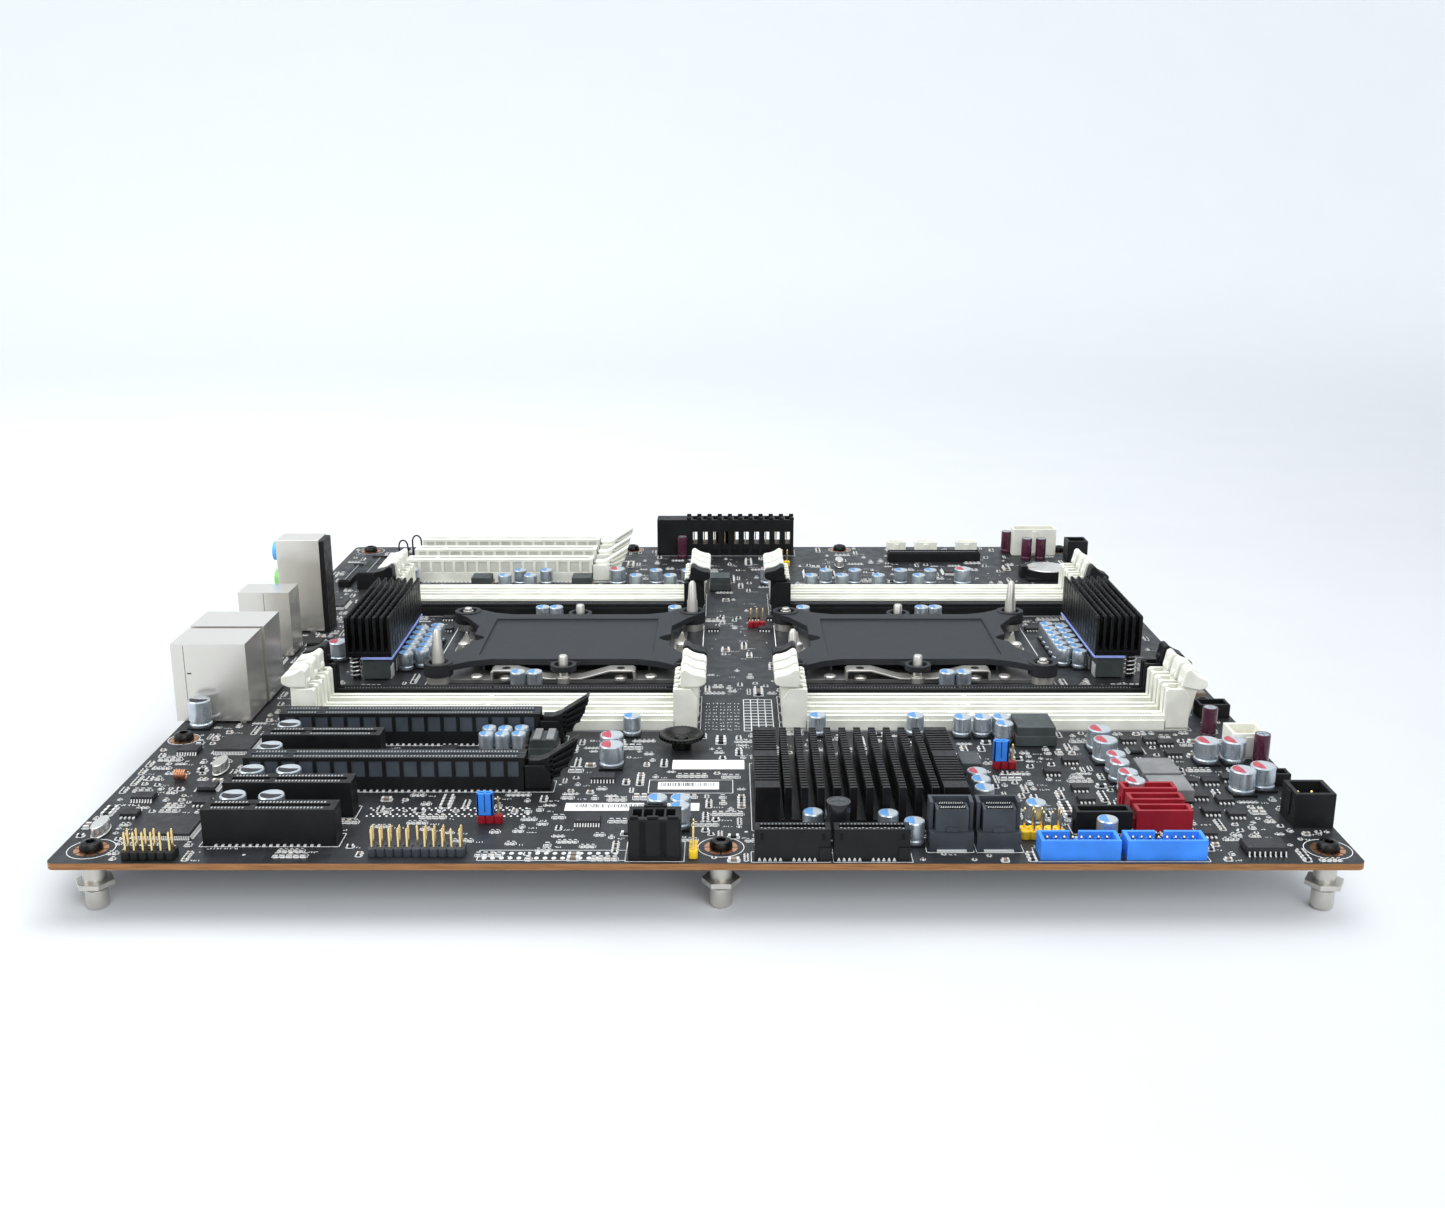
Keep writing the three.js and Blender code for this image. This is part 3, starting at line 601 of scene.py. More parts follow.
def slot_latch(number):
    """The card latch: a pivoting heel block and a fan of thin slats for the thumb."""
    node = f"slot_latch_{number}"
    x0, _, y0, y1, z0, _ = span(node)
    form = Form()

    def slab(outline, inset=0.0):
        form.prism([(x0 + a, z0 + b) for a, b in outline], y0 + inset, y1 - inset, "y")

    slab([(0.8, 0), (5, 0), (7.8, 1.2), (7.8, 9.2), (3.4, 7.6), (0, 7.6), (0, 1.8)])
    slab([(7, 1.2), (9.4, 2.4), (13.4, 7.2), (15.4, 13), (15.4, 14.6), (14.6, 14.6), (7, 9)], 1.5)
    root = 6.6
    for rise, tip, tip_rise in (
        (1.7, 10, 3), (3.5, 12.6, 6.3), (5.3, 14.2, 9.4), (7, 15.3, 12.4), (8.6, 15.8, 15),
    ):
        slab([(root, rise - 0.45), (tip, tip_rise - 0.8), (tip, tip_rise), (root, rise + 0.45)])
    colour = "white" if number in WHITE_SLOTS else "black"
    piece(f"latch_lever_{number}", form, colour, body=node, bevel=0.12, stands_for=node)


# Memory banks --------------------------------------------------------------------------------

PITCH = 9.4
SOCKET_WIDTH = 6.8
TOWER = 8.4
CATCH_PIVOT = (3.4, 4.2)


def memory_socket(bank, index, x0, x1, y0, height):
    """One socket moulding: a slim bar with its contacts and a slit tower at each end."""
    y1 = y0 + SOCKET_WIDTH
    mid = (y0 + y1) / 2
    bar = 5.2
    form = Form()
    left, right = x0 + TOWER - 0.5, x1 - TOWER + 0.5
    notch = x0 + 0.47 * (x1 - x0)
    for side in SIDES:
        for inner, outer, z0, z1 in (
            (0.8, 2.7, 0, bar), (2.6, 3.4, 0, 3.6), (1.7, 1.95, bar - 0.1, bar + 0.12),
        ):
            form.box(left, right, mid + side * inner, mid + side * outer, z0, z1)
    form.box(left, right, mid - 1, mid + 1, 0, 1.6)
    form.block(notch, mid, 0.7, 0.9, 1.4, bar)
    for step in range(int((right - left - 6) / 1.1)):
        contact = left + 3 + step * 1.1
        if abs(contact - notch) > 1.3:
            for y in (mid - 0.73, mid + 0.73):
                form.block(contact, y, 0.2, 0.11, 1.4, bar - 0.25, 1)
    for outer, inward in ((x0, 1), (x1, -1)):
        cheek = [(0, 0.5), (TOWER, 0.5), (TOWER, height - 0.8), (TOWER - 0.8, height)]
        cheek += [(2.2, height), (0, height - 3.2)]
        outline = [(outer + inward * a, z) for a, z in cheek]
        form.prism(outline, y0, y0 + 1.1, "y")
        form.prism(outline, y1 - 1.1, y1, "y")
        for near, far, low, high, z0, z1 in (
            (0, TOWER, y0, y1, 0, 1),
            (TOWER - 1.6, TOWER - 0.05, y0 + 0.9, mid - 0.8, 0.8, height - 0.2),
            (TOWER - 1.6, TOWER - 0.05, mid + 0.8, y1 - 0.9, 0.8, height - 0.2),
            (TOWER - 1.55, TOWER - 0.1, y0 + 0.9, y1 - 0.9, 0.8, bar),
        ):
            form.box(outer + inward * near, outer + inward * far, low, high, z0, z1)
    colour = "black" if index == (3 if bank <= 2 else 0) else "white"
    name, node = f"memory_socket_{bank}_{index + 1}", f"memory_bank_{bank}"
    piece(name, form, colour + " contact", bevel=0.15, stands_for=node)
    return colour


def memory_catch(bank, side, index, outer, y0, colour):
    """One ejector catch: a hinged stem between the tower's cheeks and a short finger head. The
    right catches of the right-hand banks stand part open."""
    node = f"memory_catches_{bank}_{side}"
    mid = y0 + SOCKET_WIDTH / 2
    inward = 1 if side == "left" else -1
    turn = math.radians(12 if side == "right" and bank in (2, 4) else 0)
    cos, sin = math.cos(turn), math.sin(turn)
    pivot_x, pivot_z = CATCH_PIVOT
    form = Form()
    stem = [(1.8, 1.9), (5, 1.9), (5.4, 3), (5.4, 16.4), (-0.4, 16.4), (-0.6, 4.8), (0.4, 3)]
    head = [
        (-3.2, 17.6), (-2.6, 16.7), (-0.6, 15.8), (5.6, 15.8), (5.6, 21.4), (5, 22.2), (4, 22.4),
        (3.2, 21.8), (1.8, 20.9), (0, 20.3), (-2, 20), (-3, 19.4),
    ]
    grip = [(5, 16), (6.2, 16), (6.2, 17.6), (5, 18.8)]
    for outline, half in ((stem, 2), (head, 3.3), (grip, 1.5)):
        offsets = [(a - pivot_x, z - pivot_z) for a, z in outline]
        placed = [
            (outer + inward * (pivot_x + a * cos - z * sin), pivot_z + a * sin + z * cos)
            for a, z in offsets
        ]
        form.prism(placed, mid - half, mid + half, "y")
    name, slot = f"catch_{bank}_{side}_{index + 1}", colour + "_plastic"
    piece(name, form, colour, body=node, bevel=0.35, segments=3, stands_for=node)


def memory_bank(bank):
    x0, x1, y0, _, _, height = span(f"memory_bank_{bank}")
    for index in range(4):
        front = y0 + index * PITCH
        colour = memory_socket(bank, index, x0, x1, front, height)
        memory_catch(bank, "left", index, x0, front, colour)
        memory_catch(bank, "right", index, x1, front, colour)
    claim(x0 - 4, x1 + 4, y0 - 1, y0 + 3 * PITCH + SOCKET_WIDTH + 1)


# Processor sockets ---------------------------------------------------------------------------

POST_X, POST_Y = 48, 35.5
PLATE_X, PLATE_Y = 46, 37
WINDOW_X, WINDOW_Y = 32, 25
KEEPOUT_X, KEEPOUT_Y = 53, 41
CORNERS = [(sx, sy) for sx in SIDES for sy in SIDES]


def loading_frame(number):
    """The frame round a processor: plate, guide posts, nuts, studs and bowed springs."""
    node = f"loading_frame_{number}"
    top = span(node)[5]
    cx, cy = centre(node)
    plate, nickel, painted_hole_shade = 0, 1, 2
    form = Form()
    for side in SIDES:
        front, back = cy + side * WINDOW_Y, cy + side * PLATE_Y
        form.box(cx - PLATE_X, cx + PLATE_X, front, back, 0, 1.6, plate)
        left, right = cx + side * (WINDOW_X + 0.05), cx + side * (PLATE_X - 0.05)
        form.box(left, right, cy - WINDOW_Y - 0.5, cy + WINDOW_Y + 0.5, 0, 1.55, plate)
        left, right = cx + side * WINDOW_X, cx + side * (WINDOW_X + 0.8)
        form.box(left, right, cy - WINDOW_Y, cy + WINDOW_Y, 1.4, 3, plate)
    for sx, sy in CORNERS:
        x, y = cx + sx * POST_X, cy + sy * POST_Y
        form.turned(x, y, [(0, 0), (4.6, 0), (4.6, 4.4), (4, 5.15), (0, 5.2)], 24, nickel)
        if sx == sy:
            guide = [(0, 5), (2.4, 5), (2.4, 9), (2.2, 9.6), (2.2, 12.6), (1.9, 13.4)]
            guide += [(1.5, top - 1.4), (0.8, top - 0.2), (0, top)]
            form.turned(x, y, guide, 24, nickel)
        else:
            form.prism(circle(x, y, 2.3, 6), 5, 8.4, "z", nickel)
            form.turned(x, y, [(0, 8), (1.6, 8.4), (1.6, 9.3), (1.3, 9.6), (0, 9.6)], 16, nickel)
    # A bowed spring: low at the middle stud, then a raised seat bent down to a foot.
    bow = [(2.6, 2.5), (7, 2.6), (17.8, 5.6), (26.6, 5.6), (27.6, 5.0), (27.8, 1.5)]
    bow += [(26.9, 1.5), (26.8, 4.7), (26.3, 4.9), (18, 4.9), (7, 1.9), (2.6, 1.8)]
    stud = [(0, 0), (3, 0), (3, 2.4), (1.8, 2.8), (1.8, 10.4), (1.4, 11), (0, 11)]
    eye = [(1.7, 5.4), (1.7, 5.64), (0, 5.64)]
    screw = [(0, 1.5), (2.5, 1.5), (2.5, 2.6), (2, 3), (1.1, 3), (1, 2.4), (0, 2.4)]
    rivet = [(0, 1.5), (2.4, 1.5), (2.4, 2.6), (1.9, 3), (0, 3)]
    for side in SIDES:
        y = cy + side * POST_Y
        form.turned(cx, y, stud, 16, nickel)
        for hand in SIDES:
            outline = [(cx + hand * a, z) for a, z in bow]
            form.prism(outline, y - side * 3.9, y + side * 2.8, "y", nickel)
            x = cx + hand * 22
            # The eye in each spring is a thin near-black disc: painted shade in the hole.
            form.turned(x, y - side * 0.6, eye, 18, painted_hole_shade)
            form.turned(x, y + side * 1.2, screw, 18, nickel)
            form.turned(cx + hand * 33.5, y, rivet, 18, nickel)
    pin = [(0, 1.5), (3.3, 1.5), (3.3, 2.4), (2.2, 2.4), (2.2, 4.6), (1.2, 5.2), (0, 5.2)]
    for hand in SIDES:
        x = cx + hand * 44.4
        form.turned(x, cy, pin, 20, nickel)
        form.box(x - 3.2, x + 1.6, cy - 14, cy + 14, 1.5, 2.2, nickel)
        for way in SIDES:
            fin = [(x - 3, 2), (x + 1.6, 2), (x + 0.4, 6.8), (x - 0.1, 7)]
            form.prism(fin, cy + way * 8, cy + way * 8.8, "y", nickel)
    finish = "frame nickel cavity"
    piece(f"loading_plate_{number}", form, finish, bevel=0.15, stands_for=node)
    claim(cx - KEEPOUT_X, cx + KEEPOUT_X, cy - KEEPOUT_Y, cy + KEEPOUT_Y)
    return cx, cy


def waist(cx, cy, half_x, front, back, depth=0.0):
    """A rectangle whose left and right sides are scooped in just before the middle."""
    scoop = [(math.sin(math.pi * i / 10) * depth, cy - 8 + i) for i in range(11)]
    right, left = cx + half_x, cx - half_x
    outline = [(left, cy - front), (right, cy - front)] + [(right - dent, y) for dent, y in scoop]
    outline += [(right, cy + back), (left, cy + back)]
    return outline + [(left + dent, y) for dent, y in reversed(scoop)]


def dust_cover(number):
    """The lift-off cover: a plate with a sunk panel, waisted sides and a cup round each post."""
    node = f"dust_cover_{number}"
    z0, z1 = span(node)[4:]
    cx, cy = centre(node)
    under, top = z0 + 0.1, z1 - 0.4
    form = Form()
    outer, inner = waist(cx, cy, 40, 31, 31, 4.6), waist(cx, cy, 34, 25.4, 24.4)
    sunk = waist(cx, cy, 33.8, 25.2, 24.2)
    levels = ((outer, under), (outer, top), (inner, top), (sunk, top - 0.9))
    form.loft([[(x, y, z) for x, y in outline] for outline, z in levels])
    low, high, round_sides = under + 0.03, top - 0.03, 36
    for sx, sy in CORNERS:
        x, y = cx + sx * POST_X, cy + sy * POST_Y
        form.ring(x, y, 3.3, under + 0.4, 4.9, 5.6, sides=round_sides)
        form.ring(x, y, under + 0.2, z1, 3.7, 5.6, sides=round_sides)
        arm = [(-20.4, -4.8), (-12, -2), (-7, 1.6), (-3.4, 4.2), (-4, 0), (0, -4), (3, -4.4)]
        arm += [(-1, -9), (-8.4, -22.5), (-10, -7.5)]
        form.prism([(x + sx * a, y + sy * b) for a, b in arm], low, high)
    tongue = [(-7, 30.6), (-4.8, 32.6), (-3.8, 34), (-2.6, 32.6)]
    tongue += [(-a, b) for a, b in reversed(tongue)]
    for side in SIDES:
        form.ring(cx, cy + side * POST_Y, z0, z1 - 0.9, 3.5, 5.0, sides=round_sides)
        form.prism([(cx + a, cy + side * b) for a, b in tongue], low, high - 0.9)
    name = f"cover_moulding_{number}"
    piece(name, form, "cover", body=node, bevel=0.2, stands_for=node)


# Heatsinks -----------------------------------------------------------------------------------


def chipset_heatsink():
    """Crosscut heatsink: wide end columns and ten inner columns, sawn across into pins."""
    node = "chipset_heatsink"
    x0, x1, y0, y1, _, z1 = span(node)
    wide, inner_columns, rows = 7.4, 10, 25
    form = Form()
    form.box(x0, x1, y0, y1, 0.3, 3.2)
    pitch_y = (y1 - y0) / rows
    for left in (x0, x1 - wide):
        right = left + wide
        form.box(left + 0.4, right - 0.4, y0 + 0.2, y1 - 0.2, 3, z1 - 5)
        for index in range(rows):
            low = y0 + index * pitch_y
            joined = index in (0, 1, 12, 13, 23)
            form.box(left, right, low, low + pitch_y * (1.02 if joined else 0.5), 3, z1)
    pitch_x = (x1 - x0 - 2 * wide) / inner_columns
    for column in range(inner_columns):
        left = x0 + wide + (column + 0.27) * pitch_x
        right = left + pitch_x * 0.46
        form.box(left + 0.05, right - 0.05, y0 + 0.1, y1 - 0.1, 3, z1 - 5.4)
        form.box(left, right, y0, y0 + 1.3, 3, z1 - 0.1)
        for index in range(1, rows):
            low = y0 + index * pitch_y
            form.box(left, right, low, low + pitch_y * 0.55, z1 - 5.6, z1 - 0.1)
    form.block(*centre(node), 12, 12, 0, 0.4, 1)
    name, finish = "crosscut_heatsink", "aluminium label"
    piece(name, form, finish, bevel=0.08, segments=1, stands_for=node)
    claim_node(node, 1.5)


def regulator_heatsink(number):
    """Upright fins cut into pins, on a base that stands over the choke row."""
    node = f"regulator_heatsink_{number}"
    x0, x1, y0, y1, _, z1 = span(node)
    base_low, base_high, fins, rows, fin, gap = 9.3, 11.3, 7, 14, 1.1, 0.9
    inner, out = (x1, -1) if number == 1 else (x0, 1)
    form = Form()
    form.box(x0, x1, y0, y1, base_low, base_high)
    pitch = (y1 - y0 + gap) / rows
    for index in range(fins):
        left = x0 + index * (x1 - x0 - fin) / (fins - 1)
        for cut in range(rows):
            low = y0 + cut * pitch
            form.box(left, left + fin, low, low + pitch - gap, base_high - 0.1, z1 - 0.5)
            for nick in (low + 0.2, low + 1.5, low + 2.8):
                form.box(left + 0.1, left + fin - 0.1, nick, nick + 0.6, z1 - 0.6, z1)
    pin_x = x0 + 3 if number == 1 else x1 - 3
    over = base_low + 0.1
    for y in (y0 + 3, y1 - 3):
        form.turned(pin_x, y, [(0, 0), (1.5, 0), (1.5, over), (0, over)], 12, 5)
        turn = circle(pin_x, y, 2.1, 12)
        form.tube([(*turn[step % 12], 0.6 + step * 0.14) for step in range(61)], 0.36, 6, 1)
    # The choke row that the heatsink cools, with a soft pad between.
    form.box(inner - out * 0.3, inner + out * 11.8, y0 - 0.3, y1 + 0.3, 8.5, over, 2)
    for index in range(6):
        low = y0 + 0.4 + index * (y1 - y0 - 0.8) / 6
        for near, far, front, back, z0, top, paint in (
            (1.2, 11.4, 0, 9, 0.6, 7.8, 3), (1.6, 11, 0.4, 8.6, 7.7, 8.6, 3),
            (0.9, 11.7, 2, 7, 0, 5, 4),
        ):
            xs = inner + out * near, inner + out * far
            form.box(*xs, low + front, low + back, z0, top, paint)
    name, finish = f"regulator_fins_{number}", "aluminium steel pad_blue ferrite solder black"
    piece(name, form, finish, bevel=0.06, segments=1, stands_for=node)
    claim_node(node)
    return inner, -out, y0


# Rear ports ----------------------------------------------------------------------------------


def port_shell(node, mouths, seam):
    """A folded steel shell with port mouths facing out, a seam and mounting tabs."""
    x0, x1, y0, y1, _, z1 = span(node)
    form = Form()
    wall = 1.6
    deep = x0 + 13
    in0, in1, roof = y0 + wall, y1 - wall, z1 - 2
    skin = [(y0, 0.6), (in0, 0.6), (in0, roof), (in1, roof), (in1, 0.6), (y1, 0.6)]
    form.prism(skin + [(y1, z1), (y0, z1)], x0, x1, "x")
    form.box(x1 - 1, x1 - 0.1, y0 + 0.2, y1 - 0.2, 0.7, z1 - 0.2)
    form.box(deep, x1 - 0.6, y0 + 0.4, y1 - 0.4, 0.8, z1 - 0.4)
    levels = [0.6] + [z for mouth in mouths for z in mouth] + [z1 - 0.2]
    for low, high in zip(levels[::2], levels[1::2]):
        form.box(x0 + 0.03, deep + 0.5, y0 + 0.2, y1 - 0.2, low + 0.02, high)
    for low, high in mouths:
        form.box(x0 + 1.5, deep + 0.2, in0 - 0.1, in0 + 0.3, low, high, 1)
        form.box(x0 + 1.5, deep + 0.2, in1 - 0.3, in1 + 0.1, low, high, 1)
        form.box(deep - 0.4, deep + 0.2, in0, in1, low, high, 1)
        form.box(x0 + 3, deep - 0.5, in0 + 2, in1 - 2, low, low + 1.6, 1)
        for index in range(8):
            y = in0 + 3.6 + index * (in1 - in0 - 7.6) / 7
            form.box(x0 + 3.4, deep - 1, y, y + 0.35, low + 1.5, low + 2.2, 2)
    # The seam down each side wall, with two short slots beside it.
    cut = x0 + (x1 - x0) * seam
    for low in (y0 - 0.02, y1 - 0.05):
        form.box(cut - 0.1, cut + 0.1, low, low + 0.07, 0.6, z1 - 0.6, 1)
        for z in (z1 * 0.3, z1 * 0.62):
            form.box(cut + 0.6, cut + 2.2, low, low + 0.07, z, z + 0.5, 1)
    for x in (x0 + 5, x1 - 4):
        for low in (y0 + 0.1, y1 - 0.5):
            form.box(x, x + 2.2, low, low + 0.4, -0.9, 1)
    name, finish = node + "_shell", "shell black gold"
    piece(name, form, finish, bevel=0.3, segments=3, stands_for=node)
    claim_node(node)


def audio_stack():
    """A tower of three round jacks, each with a coloured ring, over a black rear cover."""
    node = "audio_jack_stack"
    x0, x1, y0, y1, _, z1 = span(node)
    face = x0 + 2.6
    mid = (y0 + y1) / 2
    form = Form()
    form.box(face, x1 - 2, y0, y1, 0.6, z1)
    form.box(x1 - 2.3, x1, y0 + 0.4, y1 - 0.4, 0, z1 - 0.6, 1)
    sides = 28
    for z, colour in ((10.3, 4), (22.3, 3), (34.3, 2)):
        for inner, outer, near, paint in ((3.0, 4.0, x0, colour), (1.8, 3.1, x0 + 0.5, 1)):
            rims = [
                [(x, y, level) for y, level in circle(mid, z, radius, sides)]
                for x, radius in (
                    (near, inner), (near, outer), (face + 0.4, outer), (face + 0.4, inner),
                )
            ]
            faces = []
            for rim in range(4):
                a, b = rim * sides, (rim + 1) % 4 * sides
                for i in range(sides):
                    j = (i + 1) % sides
                    faces.append([a + i, a + j, b + j, b + i])
            form.put([point for rim in rims for point in rim], faces, paint)
        form.prism(circle(mid, z, 1.9, sides), face - 0.02, face + 0.3, "x", 1)
    for x in (face + 4, x1 - 8):
        form.box(x, x + 2.4, y0 + 0.1, y0 + 0.5, -0.9, 1)
    finish = "shell black jack_blue jack_green jack_pink"
    piece("jack_tower", form, finish, bevel=0.25, stands_for=node)
    claim_node(node)


# Capacitors ----------------------------------------------------------------------------------

# A can's paints: 0 the bare can, 1 its plain top, then its marks and its foot.
CAN_FINISH = "can top top_blue top_red top_black black"
BLUE, RED, DARK, FOOT = 2, 3, 4, 5
MARKED_SIDES = {BLUE: (6, 18), RED: (7, 18), DARK: (11, 25)}


def can(form, x, y, radius, height, mark):
    """An aluminium capacitor: base, rolled neck, straight can and a marked top."""
    form.block(x, y, radius * 0.98, radius * 0.98, 0, 0.7, FOOT)
    rim, top = radius * 0.86, height + 0.02
    profile = [(0, 0.6), (radius * 0.95, 0.6), (radius, 1.0), (radius, 1.7), (radius * 0.9, 2.1)]
    profile += [(radius * 0.9, 2.4), (radius, 2.9), (radius, height - 0.35)]
    form.turned(x, y, profile + [(radius * 0.93, height), (rim, height)], 24)
    marked = (*MARKED_SIDES[mark], mark)
    form.turned(x, y, [(rim, height), (radius * 0.84, top), (0, top)], 24, 1, marked)
    claim_round(x, y, radius, 0.2)


def cans(name, radius, height, mark, places):
    form = Form()
    for x, y in places:
        can(form, x, y, radius, height, mark)
    piece(name, form, CAN_FINISH, sharp=30)


def sleeved(name, radius, height, finish, places):
    """Wet capacitors in a shrunk sleeve, with a bare scored top."""
    form = Form()
    rim = radius * 0.8
    profile = [(0, 0), (radius * 0.94, 0), (radius, 0.5), (radius, 1.4), (radius * 0.92, 1.8)]
    profile += [(radius, 2.3), (radius, height - 0.5), (radius * 0.95, height), (rim, height)]
    profile += [(radius * 0.78, height - 0.15)]
    top = [(rim, height - 0.2), (radius * 0.76, height - 0.05), (0, height)]
    for x, y in places:
        form.turned(x, y, profile, 24)
        form.turned(x, y, top, 24, 1)
        # The score is two thin black wires: painted shade in the grooves.
        for px, py in circle(x, y, radius * 0.6, 4)[:2]:
            z = height - 0.02
            form.tube([(2 * x - px, 2 * y - py, z), (px, py, z)], 0.08, 4, 2)
        claim_round(x, y, radius, 0.2)
    piece(name, form, finish, sharp=30)


def capacitors():
    cans("blue_cans_front", 3.1, 7.5, BLUE, [
        (173, 30.5), (180, 30.5), (173.3, 24.2), (180, 24.5), (161, 102.5), (275.5, 101.5),
        (282.5, 101.5), (289, 101.5), (289, 95), (225.5, 103), (259.5, 103), (241.5, 19),
        (219.4, 19.8), (248.6, 13.4), (273, 45.5), (273, 38.5), (286.5, 27), (305, 14.6),
    ])
    cans("blue_cans_between_slots", 2.5, 8, BLUE, [
        (113.5, 89.5), (119, 89), (124.5, 89.5), (113.2, 83.6), (118.7, 83.4), (124.2, 83.8),
    ])
    cans("red_cans_large", 4, 8, RED, [
        (155.5, 82.5), (156, 73.5), (320, 88.5), (319.5, 78), (353, 77.2), (362, 77.5),
        (356.5, 51.5), (364, 55), (38, 188),
    ])
    cans("red_cans_small", 3.2, 7, RED, [
        (320.5, 68), (320, 61), (320.5, 52.5), (321, 45.5), (273, 53),
    ])
    cans("printed_cans", 3.9, 10.3, DARK, [
        (46.5, 26), (58, 26), (46, 46.4), (57.5, 46.4), (46, 66.7), (46.5, 87), (8, 111),
    ])
    back = [90, 96, 102, 108.4, 151.5, 160.5, 167.5, 175.5, 233.5, 241, 248, 254.8, 265, 276.5]
    zigzag = [(x, 294.6 + 9.4 * (i % 2)) for i, x in enumerate(back + [284, 290.5])]
    cans("blue_cans_back", 3.1, 7.5, BLUE, zigzag)
    cans("red_cans_back", 4, 8, RED, [(44, 303.6), (142, 304.5), (214, 305), (306, 304)])
    cans("blue_cans_by_processors", 3, 7.5, BLUE, [
        (cx - hand * a, cy + b)
        for (cx, cy), hand in zip(PROCESSORS, (1, -1))
        for a, b in ((16.3, -44.5), (10, -44.5), (17.2, 44.6), (11.3, 44.6), (-40.2, 44.6))
    ])
    for number, (x, towards, y0) in enumerate(RAILS, 1):
        # Two staggered columns between a regulator heatsink and its processor.
        cans(f"regulator_cans_{number}", 2.9, 7.5, BLUE, [
            (x + towards * away, y0 + start + index * 6.8)
            for index in range(6) for away, start in ((2.6, 13), (8.4, 16.4))
        ])
    sleeved("purple_capacitors", 2.6, 11, "sleeve can black", [
        (361, 101), (370.3, 75), (338, 369), (345.5, 353), (352.6, 353), (171.5, 357.5),
    ])
    sleeved("black_capacitor", 3.7, 12.8, "gloss gloss black", [(226.5, 15)])
    dome = Form()
    dome.turned(370.6, 165, [(0, 0), (3.4, 0), (3.4, 5.2), (3, 6.6), (2, 7.3), (0, 7.6)], 22)
    piece("dome_capacitor", dome, "black")
    claim(367, 374.5, 161, 169)


# Magnetics -----------------------------------------------------------------------------------


def choke(form, x0, x1, y0, y1, height):
    """A two-part ferrite choke on a wide copper winding tab."""
    form.box(x0, x1, y0, y1, 0.3, height * 0.55)
    form.box(x0 + 0.5, x1 - 0.5, y0 + 0.5, y1 - 0.5, height * 0.5, height)
    quarter = (y1 - y0) * 0.25
    for x in (x0 - 0.25, x1 - 0.15):
        form.box(x, x + 0.4, y0 + quarter, y1 - quarter, 0, height * 0.5, 1)
    claim(x0, x1, y0, y1)


def magnetics():
    form = Form()
    for box in (
        (127.6, 137.4, 80.4, 90.6, 6.5), (292.5, 306.5, 91, 106, 7), (74, 84, 291.6, 302, 6.5),
        (121, 131, 291.6, 302, 6.5), (186, 196, 292, 303, 6.5),
    ):
        choke(form, *box)
    for x in (129.2, 133.6):
        form.box(x, x + 2.6, 80.6, 90.4, 6.4, 7.2, 2)
    piece("chokes", form, "ferrite copper grey_block", bevel=0.3)
    grey = Form()
    for y0, y1 in ((57.5, 70.5), (43.2, 55.6)):
        grey.box(326.8, 339.2, y0, y1, 0.3, 4.4)
        for x in (326.4, 338.8):
            grey.box(x, x + 0.8, y0 + 4, y1 - 4, 0, 1.6, 1)
        claim(326.4, 339.6, y0, y1)
    grey.box(270.4, 277, 66.4, 77.6, 0.2, 4, 2)
    claim(270, 277.5, 66, 78)
    finish = "grey_block solder ferrite"
    piece("shielded_inductors", grey, finish, bevel=0.45, segments=3)
    coil = Form()
    for index in range(5):
        turn = circle(62, 1.9, 1.5, 12)
        coil.tube([(16 + index * 0.75, y, z) for y, z in turn + turn[:1]], 0.3, 6)
    piece("wire_coil", coil, "copper")
    claim(14, 21, 59.5, 64.5)


# Chips ---------------------------------------------------------------------------------------


def gull_legs(form, x0, x1, y0, y1, count, side, tall):
    """A row of bent legs along one side of a package, w, e, s or n."""
    start, length = (x0, x1 - x0) if side in "sn" else (y0, y1 - y0)
    base, way = {"s": (y0, -1), "n": (y1, 1), "w": (x0, -1), "e": (x1, 1)}[side]
    reach, thick = 1.1, 0.2
    outline = [(0, tall), (0.35, tall), (0.55, thick), (reach, thick), (reach, 0), (0.35, 0)]
    outline += [(0.15, tall - thick), (0, tall - thick)]
    half = min(0.2, length / count * 0.28)
    bent = [(base + way * (a - 0.1), z) for a, z in outline]
    for index in range(count):
        middle = start + (index + 0.5) * length / count
        form.prism(bent, middle - half, middle + half, "x" if side in "sn" else "y", 1)


def corners(x0, x1, y0, y1, inset, z):
    x0, x1, y0, y1 = x0 + inset, x1 - inset, y0 + inset, y1 - inset
    return [(x0, y0, z), (x1, y0, z), (x1, y1, z), (x0, y1, z)]


def chip(form, box, height, sides, count):
    """A moulded chip with drafted sides, legs and a pin-one dimple."""
    draft, half = 0.25, height * 0.5
    form.loft([corners(*box, draft, 0.12), corners(*box, 0, half)])
    form.loft([corners(*box, 0, half), corners(*box, draft, height)])
    for side in sides:
        gull_legs(form, *box, count, side, half + 0.1)
    dimple = [(0.42, height), (0.4, height + 0.02), (0, height + 0.02)]
    form.turned(box[0] + 1.3, box[2] + 1.3, dimple, 12, 2)
    claim(*box, 1.8)


